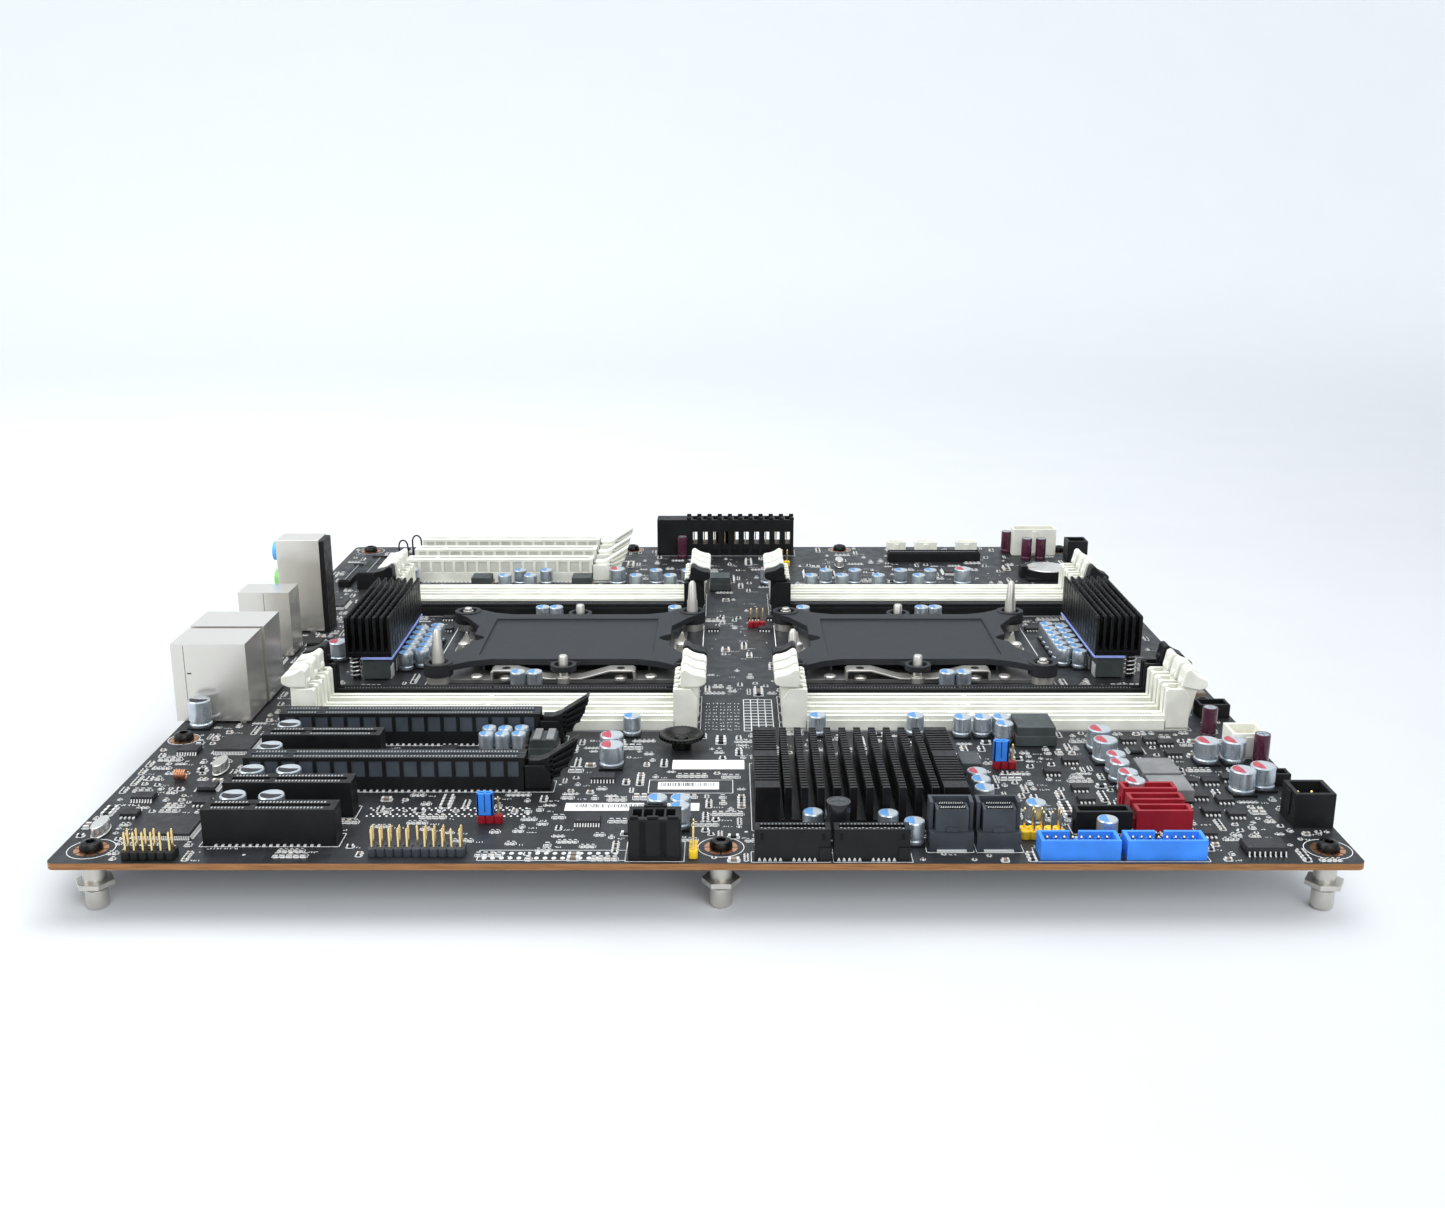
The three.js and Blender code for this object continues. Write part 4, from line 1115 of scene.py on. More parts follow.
def chips():
    form = Form()
    for box, height, sides, count in (
        ((19, 36, 16.5, 31.5), 1.7, "nsew", 32), ((20.8, 33.2, 84.6, 98.4), 1.7, "nsew", 24),
        ((343, 355, 5.2, 12.6), 2.5, "ns", 8), ((8.5, 15.5, 84, 90), 1.6, "ns", 8),
        ((148, 156, 26, 31), 1.6, "ns", 10), ((150, 158, 60, 65), 1.6, "ns", 8),
        ((262, 268, 86, 91), 1.6, "ns", 6), ((330, 334.5, 84.5, 89.5), 1.3, "ew", 5),
        ((40, 46, 344, 352), 1.6, "ew", 10), ((60, 70, 348, 355), 1.8, "ns", 12),
        ((175, 185, 320, 328), 1.8, "ns", 12), ((232, 246, 316, 330), 1.7, "nsew", 26),
        ((300, 312, 322, 332), 1.7, "nsew", 20), ((6, 14, 244, 256), 1.7, "ew", 14),
        ((10, 22, 262, 274), 1.7, "nsew", 20), ((8, 15, 44, 49), 1.6, "ns", 8),
        ((26, 32, 52, 57), 1.6, "ew", 7), ((10, 16, 158, 166), 1.6, "ew", 10),
        ((22, 29, 172, 179), 1.6, "nsew", 9), ((20, 26, 206, 214), 1.6, "ew", 10),
    ):
        chip(form, box, height, sides, count)
    piece("chips", form, "chip solder panel", bevel=0.06, segments=1)
    power = Form()
    places = [
        (342, 60), (349, 60), (342, 48), (349, 45), (306, 36.5), (306, 45.5), (306, 54.5),
        (342, 36), (349, 34), (356, 62.5), (332, 97), (340, 97), (106, 82), (100, 88), (72, 246),
        (80, 246), (206, 246), (214, 246), (12, 34), (31, 43), (300, 68), (308, 78), (344, 84),
        (344, 94), (328, 30), (336, 20),
    ]
    for x, y in places + [(cx + side * 57, cy + 34) for cx, cy in PROCESSORS for side in SIDES]:
        power.box(x - 2.6, x + 2.6, y - 2.4, y + 1.8, 0.15, 1.5)
        power.box(x - 2.4, x + 2.4, y + 1.7, y + 3.2, 0.05, 0.5, 1)
        for offset in (-1.9, -0.65, 0.65, 1.9):
            power.block(x + offset, y - 2.9, 0.3, 0.7, 0.02, 0.6, 1)
        claim(x - 3, x + 3, y - 3.7, y + 3.4)
    piece("power_switches", power, "chip solder", bevel=0.1)
    crystals = Form()
    radius = stretch = 2.35
    for x, y in ((8, 21), (28, 70), (188, 316), (250, 340)):
        for across, along, low, high in ((1, 1, 0.2, 0.7), (0.86, 0.92, 0.6, 3.6)):
            ring = circle(0, 0, radius, 24)
            outline = [(x + a * across, y + b * stretch * along) for a, b in ring]
            crystals.prism(outline, low, high)
        claim(x - 2.4, x + 2.4, y - 5.6, y + 5.6)
    piece("crystals", crystals, "steel", bevel=0.3, segments=3)


# Connectors ----------------------------------------------------------------------------------

HEADER_PITCH = 2.54
FINE_PITCH = 1.27


def walls(form, x0, x1, y0, y1, height, wall, floor_top):
    """An open housing: four walls whose ends lap without sharing a face, and a floor."""
    form.box(x0, x1, y0, y0 + wall, 0, height)
    form.box(x0, x1, y1 - wall, y1, 0, height)
    form.box(x0 + 0.02, x0 + wall, y0 + 0.1, y1 - 0.1, 0, height - 0.03)
    form.box(x1 - wall, x1 - 0.02, y0 + 0.1, y1 - 0.1, 0, height - 0.03)
    form.box(x0 + 0.1, x1 - 0.1, y0 + 0.1, y1 - 0.1, 0.02, floor_top)
    claim(x0, x1, y0, y1)


def pins(form, x0, y0, columns, rows, height, paint=1, pitch=HEADER_PITCH, half=0.32, skip=()):
    """A field of square header pins with pointed ends."""
    for i in range(columns):
        for j in range(rows):
            if (i, j) in skip:
                continue
            x, y = x0 + i * pitch, y0 + j * pitch
            shoulder = height - 0.4
            form.block(x, y, half, half, 0, shoulder, paint)
            square = (x - half, x + half, y - half, y + half)
            tip = [corners(*square, 0, shoulder), corners(*square, half * 0.6, height)]
            form.loft(tip, paint)


def pin_header(name, x0, y0, columns, rows, height, colour, skip):
    """An open header: one base cell round each pin."""
    form = Form()
    long, short = 1.26, 0.8
    quarter = [(-long, -short), (-short, -long), (short, -long), (long, -short)]
    cell = quarter + [(-a, -b) for a, b in quarter]
    for i in range(columns):
        for j in range(rows):
            x, y = x0 + i * HEADER_PITCH, y0 + j * HEADER_PITCH
            form.prism([(x + a, y + b) for a, b in cell], 0.05, 2.5)
    pins(form, x0, y0, columns, rows, height, skip=skip)
    piece(name, form, colour + " gold", bevel=0.08, segments=1)
    x1, y1 = x0 + (columns - 1) * HEADER_PITCH, y0 + (rows - 1) * HEADER_PITCH
    claim(x0, x1, y0, y1, 2.2)


def headers():
    for name, x, y, columns, rows, height, colour, skip in (
        ("panel_header", 92.2, 5.4, 11, 2, 8.5, "grey", [(9, 1), (5, 0)]),
        ("left_header", 22.4, 2.9, 6, 2, 8.5, "black", [(4, 1)]),
        ("yellow_header", 281.8, 17.2, 5, 2, 8.8, "yellow", [(0, 0), (3, 1)]),
        ("yellow_upright_header", 184.4, 4.2, 1, 3, 9.8, "yellow", []),
        ("red_header", 204.4, 234, 3, 1, 8.5, "red", []),
        ("jumper_base_1", 120.1, 28.65, 3, 1, 8.5, "red", []),
        ("jumper_base_2", 282.7, 72.25, 3, 1, 8.5, "red", []),
        ("back_header", 219, 340, 3, 1, 8.5, "yellow", []),
    ):
        pin_header(name, x, y, columns, rows, height, colour, skip)


def jumper_cap(node):
    x0, x1, y0, y1, z0, z1 = span(node)
    wall = 0.8
    form = Form()
    form.box(x0, x1, y0, y0 + wall, z0, z1)
    form.box(x0, x1, y1 - wall, y1, z0, z1)
    form.box(x0, x0 + wall, y0, y1, z0, z1)
    form.box(x1 - wall, x1, y0, y1, z0, z1)
    form.box(x0 + 2.2, x1 - 2.2, y0, y1, z0 + 1, z1)
    form.box(x0 + 0.4, x1 - 0.4, y0 + 0.4, y1 - 0.4, z1 - 3.4, z1 - 1, 1)
    name = node + "_moulding"
    piece(name, form, "blue gold", body=node, bevel=0.18, stands_for=node)


def hand_screw():
    """The dished, knurled hand screw."""
    node = "tray_hand_screw"
    z0, z1 = span(node)[4:]
    x, y = centre(node)
    rim = 7.3
    form = Form()
    profile = [(0, z0), (3.4, z0), (3.4, z0 + 2), (6.2, z0 + 3.2), (rim, z0 + 3.9)]
    profile += [(rim, z1 - 0.2), (7, z1), (6.2, z1), (4.6, z1 - 1), (2.4, z1 - 1.9), (0, z1 - 1.9)]
    form.turned(x, y, profile, 40)
    for index, (cx, cy) in enumerate(circle(x, y, rim, 36)):
        ridge = circle(cx, cy, 0.38, 6, 2 * math.pi * index / 36)
        form.prism(ridge, z1 - 1.4, z1 - 0.15)
    boss = [(0, z1 - 2), (2.3, z1 - 2), (2.3, z1 - 1.2), (1.8, z1 - 0.9), (0, z1 - 0.9)]
    form.turned(x, y, boss, 24)
    # The drive cross is a thin dark plate on the boss: painted shade in the slot.
    for half_x, half_y in ((1.78, 0.28), (0.28, 1.78)):
        form.block(x, y, half_x, half_y, z1 - 0.95, z1 - 0.88, 1)
    name, finish = "hand_screw_turned", "black_steel chip"
    piece(name, form, finish, body=node, bevel=0.1, stands_for=node)
    claim_node(node)


def main_power_connector():
    """See-through housing with tall windows, ribs between cells, pegs and a locking rail."""
    x0, x1, y0, y1, _, z1 = keep("main_power_connector", "black")
    pitch = 5.24
    form = Form()
    for index in range(11):
        x = x1 - 0.9 - index * pitch
        form.box(x - 0.95, x + 0.95, y0 - 0.3, y0 + 0.2, 0.2, z1 - 0.5)
        for low in (y0 + 0.2, y1 - 1.1):
            form.box(x - 1.1, x + 1.1, low, low + 0.9, z1 - 0.3, z1 + 1.1)
    for index in range(10):
        x = x1 - 3.52 - index * pitch
        # Each window is a thin near-black plate on the front face: painted shade in the cell behind
        # it.
        form.box(x - 1.75, x + 1.75, y0 - 0.05, y0 + 0.02, 1.2, 3.4, 1)
        form.box(x - 0.3, x + 0.3, y0 + 3, y0 + 3.6, 1.5, z1 - 5, 2)
    form.block((x0 + x1) / 2, y1 + 0.8, 5, 1, 3, z1 - 0.4)
    finish = "black cavity gold"
    piece("main_power_details", form, finish, bevel=0.1, segments=1)


def four_pin_power():
    """Front ribs, a pair of deep keyways, square terminals and a stepped rim."""
    x0, x1, y0, _, _, z1 = keep("four_pin_power_header", "black", 0.25)
    form = Form()
    # The keyways are thin near-black strips on the front face: painted shade in the recess.
    for left in (x0 + 3.5, x0 + 9.3):
        form.box(left, left + 1.4, y0 - 0.03, y0 + 0.02, 1.6, z1 - 1.2, 1)
    for left, right in ((x0 + 0.3, x0 + 3.2), (x0 + 5.2, x0 + 9), (x0 + 11, x1 - 0.3)):
        form.box(left, right, y0 - 0.35, y0 + 0.1, 1.2, z1 - 0.4)
        form.box(left + 0.3, right - 0.3, y0 + 0.2, y0 + 1.2, z1 - 0.3, z1 + 0.35)
    for index in range(4):
        form.block(x0 + 2.5 + index * 3.2, 6.75, 0.55, 0.55, 3, z1 - 3.5, 2)
    form.box(x0 + 0.4, x1 - 0.4, y0 - 0.4, y0 + 0.1, 0, 1.1)
    finish = "black cavity contact"
    piece("four_pin_power_details", form, finish, bevel=0.08, segments=1)


def side_power():
    x0, _, y0, _, _, z1 = keep("side_power_header", "black", 0.25)
    form = Form()
    pins(form, x0 + 3.6, y0 + 4.2, 2, 2, z1 - 2.2, pitch=4.2, half=0.45)
    form.box(x0 - 0.35, x0, y0 + 3.6, y0 + 7.6, 3, z1 - 0.6)
    piece("side_power_details", form, "black gold", bevel=0.1)


def storage_connectors():
    """Contacts in a zigzag along the top, shoulder notches, an end block and solder feet."""
    form = Form()
    for number in (1, 2):
        x0, x1, y0, y1, _, z1 = keep(f"storage_connector_{number}", "black")
        for index in range(18):
            x = x0 + 2 + index * (x1 - x0 - 4) / 17
            y = y0 + (0.7 if index % 2 else 1.1)
            form.box(x - 0.3, x + 0.3, y, y + 0.5, z1 - 3, z1 + 0.03, 1)
            form.box(x - 0.22, x + 0.22, y1 - 1.5, y1 - 0.95, z1 - 3, z1 + 0.03, 1)
        # The shoulder notches are thin near-black strips on the front face: painted shade in the
        # notch.
        for x in (x0 + 1.6, x1 - 2.6):
            form.box(x, x + 1, y0 - 0.02, y0 + 0.1, z1 - 3.2, z1 - 1, 3)
        form.box(x1 - 3.2, x1 + 0.2, y0 - 0.5, y0 + 0.3, 0.1, 4.2)
        for start in (x0 + 1.4, x0 + 11.2):
            for index in range(5):
                x = start + index * 1.5
                foot = [(x - 0.55, 0.02), (x + 0.55, 0.02), (x + 0.15, 1), (x - 0.15, 1)]
                form.prism(foot, y0 - 0.35, y0 + 0.05, "y", 2)
    finish = "black contact solder cavity"
    piece("storage_connector_details", form, finish, bevel=0.06, segments=1)


def cable_ports():
    """Two rows of slanted contacts on the core, a latch hook and solder tabs."""
    form = Form()
    for number in (1, 2):
        x0, x1, y0, _, _, z1 = keep(f"cable_port_{number}", "grey")
        core = z1 - 1.3
        for y in (y0 + 1.3, y0 + 4.4):
            # A near-black plate under each contact row: painted shade in the slot that holds the
            # contacts.
            form.box(x0 + 2.4, x1 - 2.4, y - 0.25, y + 1.25, core - 0.1, core + 0.25, 2)
            for index in range(11):
                x = x0 + 2.8 + index * 0.66
                slant = [(x, y), (x + 0.3, y), (x + 0.6, y + 1), (x + 0.3, y + 1)]
                form.prism(slant, core + 0.2, core + 0.4, "z", 1)
        form.box(x0 + 4.6, x1 - 4.6, y0 + 0.3, y0 + 0.9, 5.7, 7.2)
        form.box(x0 + 2, x1 - 2, y0 - 0.9, y0 + 0.2, 0, 0.6, 3)
    finish = "grey steel cavity solder"
    piece("cable_port_details", form, finish, bevel=0.05, segments=1)


def drive_ports():
    form = Form()
    for name in ("black", "red_1", "red_2", "red_3"):
        colour = name.split("_")[0]
        x0, x1, y0, y1, _, z1 = keep(f"drive_port_{name}", colour, 0.18)
        paint = int(colour == "red")
        form.box(x0 + 3, x0 + 3.9, y0 + 1.4, y0 + 2.8, 1.3, z1 - 1.2, paint)
        for index in range(7):
            x = x0 + 4.6 + index * FINE_PITCH
            form.box(x, x + 0.6, y0 + 2.5, y0 + 2.66, 2, z1 - 1.5, 2)
            form.box(x - 0.25, x + 0.25, y0 - 0.9, y0 + 0.1, 0, 0.25, 3)
        for x in (x0 - 0.5, x1 - 0.4):
            form.box(x, x + 0.9, y0 + 1.6, y1 - 1.6, 0, 3.6, paint)
    finish = "black red gold solder"
    piece("drive_port_details", form, finish, bevel=0.08, segments=1)


def usb_headers():
    form = Form()
    for number in (1, 2):
        x0, _, y0, _, _, z1 = keep(f"usb_header_{number}", "blue", 0.18)
        pins(form, x0 + 2.6, y0 + 2.6, 8, 2, z1 - 0.6, 0, 2.45, 0.3)
    piece("usb_header_pins", form, "gold")


def small_connectors():
    """White cable connectors, black open boxes, low long connectors, leads and a fuse."""
    white = Form()
    for x0, x1, y0, y1, height in (
        (276.5, 286, 365.4, 371, 6), (291, 302, 365.4, 371, 6), (312, 322.5, 365.4, 371, 6),
        (340, 362, 361.5, 370.4, 13.6), (362.4, 373.6, 80, 91, 9), (96, 104, 368, 374, 6),
    ):
        walls(white, x0, x1, y0, y1, height, 1, 1.6)
        middle = (x0 + x1) / 2
        white.box(middle - 1.2, middle + 1.2, y0 - 0.5, y0 + 0.2, 1, height - 1)
        count = max(3, int((x1 - x0 - 3) / 2.5))
        pitch = (x1 - x0 - 4.8) / (count - 1)
        pins(white, x0 + 2.4, (y0 + y1) / 2, count, 1, height - 1.4, 1, pitch, 0.3)
    piece("white_connectors", white, "white gold", bevel=0.15)
    black = Form()
    for x0, x1, y0, y1, height in (
        (365, 375, 347, 357, 10.8), (366.4, 374, 57, 62.4, 4), (363.5, 374.5, 120, 127, 5),
    ):
        walls(black, x0, x1, y0, y1, height, 1, 1.4)
        pins(black, x0 + 3, (y0 + y1) / 2, 3, 1, height - 1, 1, (x1 - x0 - 6) / 2)
    for x0, x1, y0, y1, height in (
        (275.2, 321.4, 348, 353.8, 5), (10, 15.5, 300, 332, 3.4), (20, 29, 296, 330, 8),
    ):
        black.box(x0, x1, y0, y1, 0, height - 0.6)
        for low in (y0 + 0.4, y1 - 1.4):
            black.box(x0 + 0.4, x1 - 0.4, low, low + 1, height - 0.8, height)
        long_x = x1 - x0 > y1 - y0
        for index in range(int(max(x1 - x0, y1 - y0) / FINE_PITCH) - 2):
            along = 1.6 + index * FINE_PITCH
            place = (x0 + along, (y0 + y1) / 2) if long_x else ((x0 + x1) / 2, y0 + along)
            black.block(*place, 0.25, 0.25, height - 0.7, height - 0.2, 1)
        claim(x0, x1, y0, y1)
    piece("black_connectors", black, "black contact", bevel=0.15)
    leads = Form()
    for x, y, rise in ((30, 345, 12), (36.5, 347, 14)):
        arch = [(x + 2.2 - a, y, rise - 3 + b * 3 / 2.2) for a, b in circle(0, 0, 2.2, 16)[:9]]
        leads.tube([(x, y, 0)] + arch + [(x + 4.6, y + 1, 0)], 0.4)
    piece("black_leads", leads, "black", sharp=60)
    fuse = Form()
    fuse.box(366.8, 371.6, 139, 144, 0.3, 3)
    claim(366.5, 372, 138.6, 144.4)
    piece("resettable_fuse", fuse, "tan", bevel=0.4)


def coin_cell():
    """The clock battery in its open holder."""
    x, y = 349, 319.7
    form = Form()
    form.block(x, y, 11, 10.8, 0, 1.4)
    for start in (20, 200):
        form.ring(x, y, 1.2, 4.6, 10.1, 11.2, start, start + 140, 40)
    form.box(x - 13, x - 9.6, y - 3, y + 3, 0, 5.6)
    cell = [(0, 1.3), (9, 1.3), (9.6, 2), (10, 2.6), (10, 4.4), (9.7, 4.7), (9.1, 4.7), (9, 4.78)]
    form.turned(x, y, cell + [(0, 4.78)], 40, 1)
    form.box(x - 11.4, x - 5.5, y - 1.6, y + 1.6, 4.8, 5.1, 2)
    piece("coin_cell", form, "black steel nickel", bevel=0.1)
    claim(x - 13, x + 11.5, y - 11.5, y + 11.5)


# Surface parts, bare pads and print ----------------------------------------------------------

PASSIVE_SIZES = [
    (1.6, 0.8, 0.5), (1.6, 0.8, 0.5), (2.0, 1.25, 0.7), (2.0, 1.25, 0.7), (3.2, 1.6, 0.9),
    (1.0, 0.5, 0.35),
]
HEADER_OUTLINE = (122.5, 165, 2, 9)
LABEL_PANEL = (169, 196, 51, 62)
LABELS = [(176, 199.8, 71, 79), (172, 191.5, 54, 60), (144, 185.5, 37.2, 43)]
FITTING_TABLE = (186, 208, 106, 140)


def rectangle_print(form, x0, x1, y0, y1, line=0.2):
    for edge in (
        (x0, x1, y0, y0 + line), (x0, x1, y1 - line, y1),
        (x0, x0 + line, y0, y1), (x1 - line, x1, y0, y1),
    ):
        form.box(*edge, 0, INK)


def ticks(form, x, y, count, size):
    """A generic mark: a few short strokes of uneven height in a row."""
    for index in range(count):
        left = x + index * size * 0.95
        kind = random.random()
        if kind < 0.5:
            form.box(left, left + size * 0.18, y, y + size, 0, INK)
        if kind > 0.3:
            low = y + random.choice((0, 0.4, 0.78)) * size
            form.box(left, left + size * 0.6, low, low + size * 0.2, 0, INK)
        if kind > 0.75:
            form.box(left + size * 0.44, left + size * 0.62, y, y + size, 0, INK)


def passive(parts, marks, x, y, size, turned):
    """A chip resistor or capacitor with solder at both ends and print beside it."""
    length, width, height = size
    half, side = length / 2, width / 2

    def put(form, a, b, c, d, z0, z1, paint=0):
        if turned:
            a, b, c, d = c, d, a, b
        form.box(x + a, x + b, y + c, y + d, z0, z1, paint)

    put(parts, -half * 0.55, half * 0.55, -side, side, 0.05, height, random.choice((0, 0, 1)))
    for end in SIDES:
        put(parts, end * half, end * half * 0.5, -side, side, 0.02, height + 0.02, 2)
        put(marks, -half, half, end * (side + 0.36), end * (side + 0.52), 0, INK)
    put(parts, -half - 0.3, half + 0.3, -side - 0.12, side + 0.12, 0, 0.06, 2)


def scatter(parts, marks, area, count):
    """Strews short rows of small parts over the free board inside an area."""
    x0, x1, y0, y1 = area
    placed = 0
    for _ in range(count * 6):
        if placed >= count:
            return
        size = random.choice(PASSIVE_SIZES)
        turned = random.random() < 0.45
        run = random.choice((1, 1, 2, 3, 4, 5))
        step = size[1] + 0.75
        along, across = size[0] / 2 + 0.5, run * step
        x, y = random.uniform(x0, x1), random.uniform(y0, y1)
        if turned:
            box = (x - 0.8, x + across, y - along, y + along)
        else:
            box = (x - along, x + along, y - 0.8, y + across)
        inside = box[0] >= 1 and box[1] <= WIDTH - 1 and box[2] >= 1 and box[3] <= DEPTH - 1
        if not inside or not is_free(*box):
            continue
        for index in range(run):
            ahead = (index * step, 0) if turned else (0, index * step)
            passive(parts, marks, x + ahead[0], y + ahead[1], size, turned)
        claim(*box, margin=0.25)
        placed += run
        if random.random() < 0.6:
            left, low = box[1] + 0.3, box[2]
            if left + 3.6 < WIDTH - 2 and is_free(left, left + 3.4, low, low + 1):
                ticks(marks, left, low, random.choice((2, 3, 4)), 0.85)
                claim(left, left + 3.4, low, low + 1, margin=0.1)


def surface_parts():
    parts, marks = Form(), Form()
    for area, count in (
        ((2, 40, 2, 105), 480), ((62, 130, 2, 100), 70), ((130, 168, 2, 100), 150),
        ((168, 202, 2, 100), 130), ((202, 300, 2, 106), 380), ((300, 373, 2, 106), 560),
        ((2, 40, 110, 250), 240), ((183, 214, 106, 150), 14), ((183, 215, 150, 300), 25),
        ((318, 373, 106, 300), 60), ((41, 360, 144, 160), 130), ((41, 360, 232, 250), 150),
        ((41, 360, 288, 310), 120), ((140, 373, 305, 376), 230), ((2, 40, 250, 378), 90),
        ((86, 120, 60, 76), 12), ((86, 200, 34, 52), 30),
    ):
        scatter(parts, marks, area, count)
    name = "chip_resistors_and_capacitors"
    piece(name, parts, "chip tan solder", sharp=30)
    return marks


def bare_pads():
    """Unfitted places: long-slot contact fields, a header outline and round test pads."""
    form = Form()
    for node in ("expansion_slot_2", "expansion_slot_4"):
        x1, mid = span(node)[1], centre(node)[1]
        for index in range(50):
            for side in SIDES:
                y = mid + side * (1.6 if index % 2 else 3.0)
                form.turned(x1 + 4 + index, y, [(0.42, 0), (0.36, 0.12), (0, 0.2)], 8)
        claim(x1, x1 + 55, mid - 3.6, mid + 3.6)
    for column in range(16):
        for y in (3.6, 6.8):
            oval = [(124.5 + column * 2.5 + 0.7 * a, y + 0.9 * b) for a, b in circle(0, 0, 1, 12)]
            form.prism(oval, 0, 0.08)
    claim(*HEADER_OUTLINE)
    for _ in range(420):
        x, y = random.uniform(3, WIDTH - 3), random.uniform(3, DEPTH - 3)
        if is_free(x - 0.5, x + 0.5, y - 0.5, y + 0.5):
            pad = [(random.choice((0.25, 0.4, 0.55)), 0), (0.2, 0.05), (0, 0.06)]
            form.turned(x, y, pad, 8)
    piece("bare_pads", form, "solder", sharp=60)


def board_print(marks):
    """The white print: outlines, a fitting table, screw circles and generic strokes."""
    for x, y in FIXING_PLACES + SCREW_HOLES:
        radius = min(6.8, x - 0.6, WIDTH - x - 0.6, y - 0.6, DEPTH - y - 0.6)
        marks.ring(x, y, 0, INK, radius - 0.2, radius, sides=48)
    for number in range(1, 9):
        x0, x1, y0, y1, _, _ = span(f"expansion_slot_{number}")
        rectangle_print(marks, x0 - 1, x1 + 1, y0 - 1, y1 + 1)
        ticks(marks, x0 + 2, y0 - 2.6, 10, 1.0)
    for bank in range(1, 5):
        x0, x1, y0, _, _, _ = span(f"memory_bank_{bank}")
        for index in range(4):
            low = y0 + index * PITCH
            rectangle_print(marks, x0 - 1.2, x1 + 1.2, low - 0.9, low + SOCKET_WIDTH + 0.9)
    for cx, cy in PROCESSORS:
        area = (cx - KEEPOUT_X, cx + KEEPOUT_X, cy - KEEPOUT_Y, cy + KEEPOUT_Y)
        rectangle_print(marks, *area, 0.3)
    for node in (
        "storage_connector_1", "storage_connector_2", "cable_port_1", "cable_port_2",
        "usb_header_1", "usb_header_2", "drive_port_black", "drive_port_red_1",
        "drive_port_red_2", "drive_port_red_3", "four_pin_power_header",
        "main_power_connector", "chipset_heatsink",
    ):
        x0, x1, y0, y1, _, _ = span(node)
        rectangle_print(marks, x0 - 1, x1 + 1, max(0.4, y0 - 1), y1 + 1)
        ticks(marks, x0, y1 + 1.6, int((x1 - x0) / 2), 1.0)
    rectangle_print(marks, *HEADER_OUTLINE)
    rectangle_print(marks, *LABEL_PANEL)
    # The memory fitting table: marks in columns, beside an open grid.
    for column in range(5):
        for line in range(9):
            ticks(marks, 186.4 + column * 2.6, 107.6 + line * 3.4, 2, 1.1)
    for line in range(5):
        marks.box(200 + line * 2.6, 200.3 + line * 2.6, 106.5, 139.5, 0, INK)
    for line in range(12):
        marks.box(200, 210.5, 106.5 + line * 3, 106.9 + line * 3, 0, INK)
    for y in (41, 61.5, 82, 102):
        ticks(marks, 4, y, 8, 1.1)
    for _ in range(320):
        x, y = random.uniform(3, WIDTH - 8), random.uniform(3, DEPTH - 4)
        if is_free(x, x + 4.5, y, y + 1.2):
            ticks(marks, x, y, random.choice((2, 3, 4, 5)), random.choice((0.85, 1.0)))
    piece("board_print", marks, "print", sharp=30)


def labels():
    form = Form()
    for label in LABELS:
        form.box(*label, 0, 0.12)
    for x, x1, y0, y1 in ((173, 190.5, 56.4, 59.4), (147, 182, 39.4, 42.2)):
        while x < x1:
            width = random.choice((0.14, 0.2, 0.34))
            form.box(x, x + width, y0, y1, 0.1, 0.135, 1)
            x += width + random.choice((0.16, 0.26, 0.4))
    piece("blank_labels", form, "label chip")
    for covered in (LABELS[0], LABEL_PANEL, LABELS[2], FITTING_TABLE):
        claim(*covered)


# Assembly ------------------------------------------------------------------------------------

random.seed(11)
dress("circuit_board", "board")
FIXING_PLACES = [
    standoff("standoff_" + place)
    for place in ("front_left", "front_middle", "front_right", "back_left", "back_right")
]
for number in range(1, 9):
    expansion_slot(number)
    if f"slot_latch_{number}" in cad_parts:
        slot_latch(number)
for bank in range(1, 5):
    memory_bank(bank)
PROCESSORS = [loading_frame(1), loading_frame(2)]
for number in (1, 2):
    keep(f"processor_socket_{number}", "black")
    dust_cover(number)
chipset_heatsink()
RAILS = [regulator_heatsink(1), regulator_heatsink(2)]
port_shell("network_port_1", [(3, 14), (17, 27)], 0.17)
port_shell("network_port_2", [(3, 14), (17, 27)], 0.17)
port_shell("usb_port_stack", [(2, 9), (10.5, 17.5), (19, 25.6)], 0.5)
for build in (
    audio_stack, main_power_connector, four_pin_power, side_power, storage_connectors,
    cable_ports, drive_ports, usb_headers, small_connectors, coin_cell, hand_screw, headers,
    capacitors, magnetics, chips, board_screws,
):
    build()
jumper_cap("jumper_cap_1")
jumper_cap("jumper_cap_2")
screw_lands(FIXING_PLACES + SCREW_HOLES)
labels()
board_print(surface_parts())
bare_pads()

# Camera, floor and light ---------------------------------------------------------------------

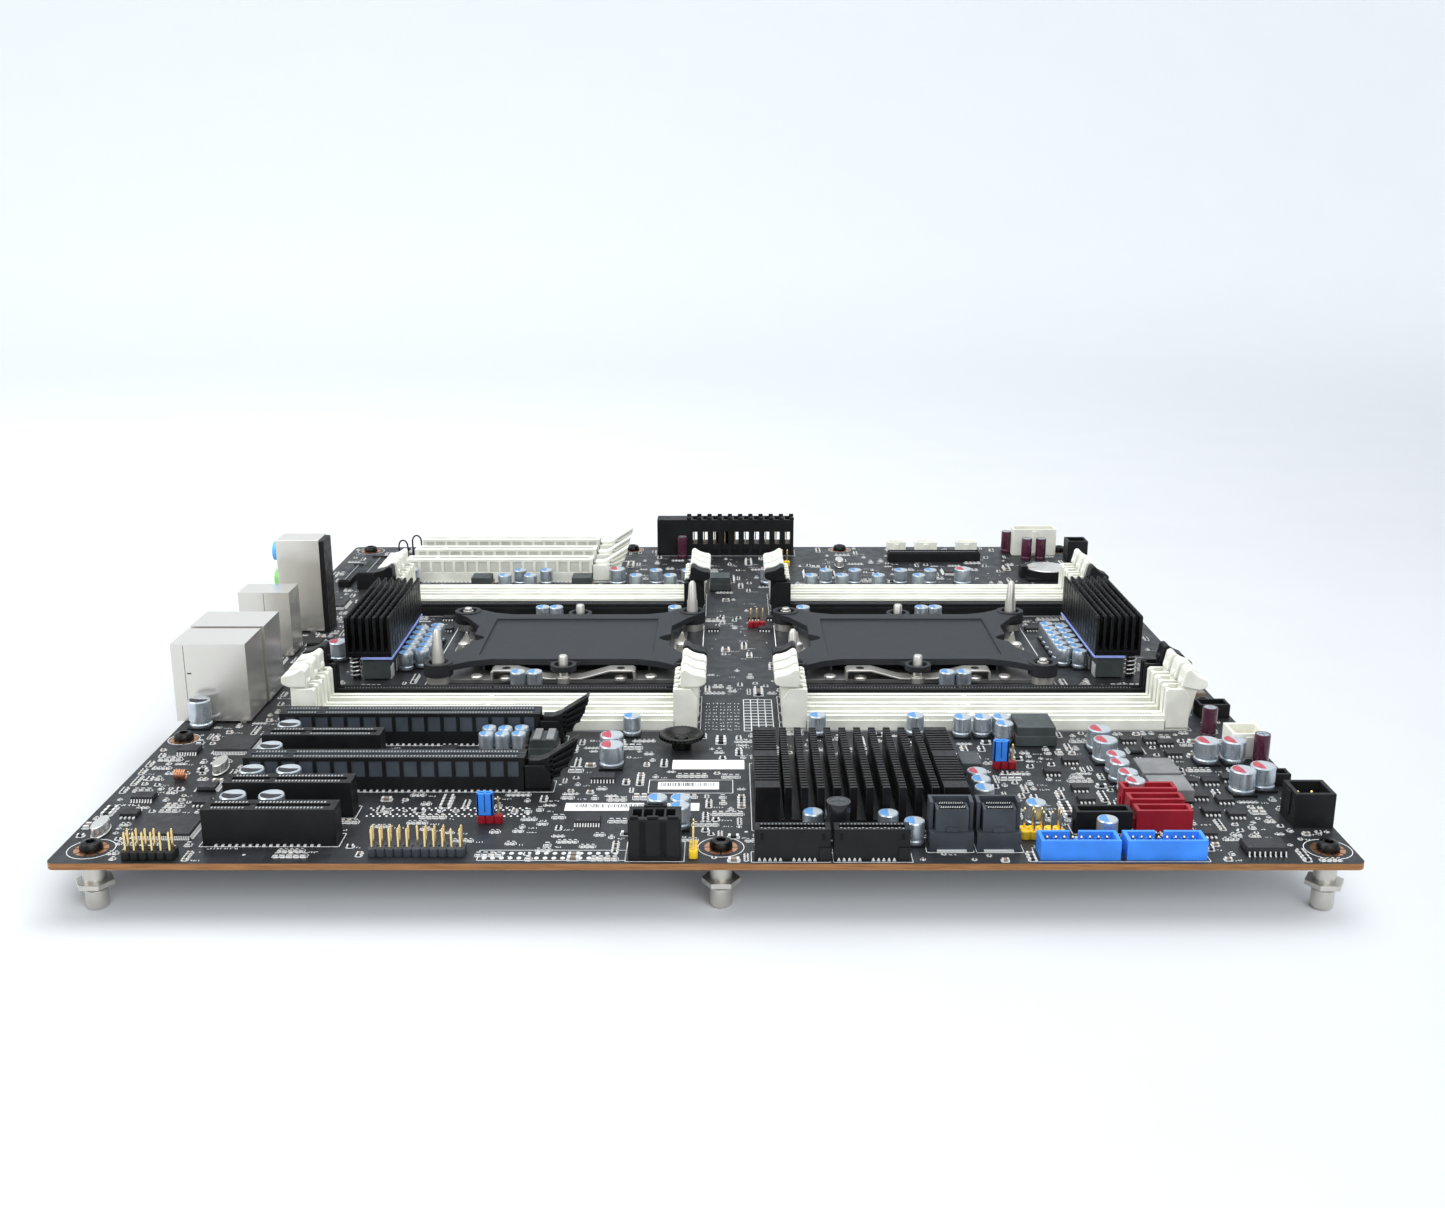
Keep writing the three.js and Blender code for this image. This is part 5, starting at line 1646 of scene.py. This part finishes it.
BEND_START = 1300
BEND_RADIUS = 900
FRONT_END, BACK_END, LEFT_END, RIGHT_END = -2600, 2200, -4200, 4600
PAPER_TOP, PAPER_THICK = 4200, 40
floor = Form()
bend = [
    (BEND_START + y, FLOOR + BEND_RADIUS + z)
    for y, z in circle(0, 0, BEND_RADIUS, 48, -math.pi / 2)[:13]
]
behind, below = BACK_END + PAPER_THICK, FLOOR - PAPER_THICK
sweep = [(FRONT_END, FLOOR)] + bend + [(BACK_END, PAPER_TOP), (behind, PAPER_TOP)]
floor.prism(sweep + [(behind, below), (FRONT_END, below)], LEFT_END, RIGHT_END, "x")
paper = Nodes("floor")
tone = paper.ramp(paper.noise(60, 3), 0, 1)
paper.set(color=paper.mix(tone, (0.83, 0.845, 0.855), (0.845, 0.857, 0.866)), rough=0.7, gloss=0.1)
# Painted light: the floor glows, more strongly the farther back it lies, so that the far backdrop
# stays bright.
painted_glow = paper.ramp(paper.part(paper.place, 1), 0.0, 0.3, 0.3, 1.5)
paper.feed(paper.shader.inputs["Emission Color"], (0.9, 0.97, 1.0))
paper.feed(paper.shader.inputs["Emission Strength"], painted_glow)
ground_mesh = bpy.data.meshes.new("floor")
ground_mesh.from_pydata([row(*point) for point in floor.points], [], floor.faces)
ground_mesh.materials.append(paper.material)
ground_mesh.polygons.foreach_set("use_smooth", [True] * len(ground_mesh.polygons))


def place(name, data, location):
    made = bpy.data.objects.new(name, data)
    made.location = location
    bpy.context.scene.collection.objects.link(made)
    return made


def lamp(name, location, size, power, tint=(1, 1, 1)):
    data = bpy.data.lights.new(name, "AREA")
    data.shape = "RECTANGLE"
    data.size, data.size_y = size
    data.energy = power
    data.color = tint
    made = place(name, data, row(*location))
    aim = row(187, 190, 0) - made.location
    made.rotation_euler = aim.to_track_quat("-Z", "Y").to_euler()


place("floor", ground_mesh, (0, 0, 0))
camera_data = bpy.data.cameras.new("camera")
camera_data.sensor_width = 36
camera_data.lens = 37.94
camera_data.clip_end = 20
camera = place("camera", camera_data, row(194.0, -395.6, 188.7))
camera.rotation_euler = [math.radians(angle) for angle in (90 - 15.82, 0.06, 0.15)]
bpy.context.scene.camera = camera

lamp("softbox_above", (140, 260, 900), (1.1, 0.9), 9, (0.96, 0.98, 1.0))
lamp("softbox_left", (-620, -150, 520), (0.6, 0.6), 3.5)
lamp("softbox_front", (420, -760, 560), (0.8, 0.5), 3)

world = bpy.data.worlds.new("world")
bpy.context.scene.world = world
world.use_nodes = True
background = world.node_tree.nodes["Background"]
background.inputs["Color"].default_value = (0.9, 0.94, 1.0, 1)
background.inputs["Strength"].default_value = 0.85
bpy.context.scene.view_settings.view_transform = "Standard"
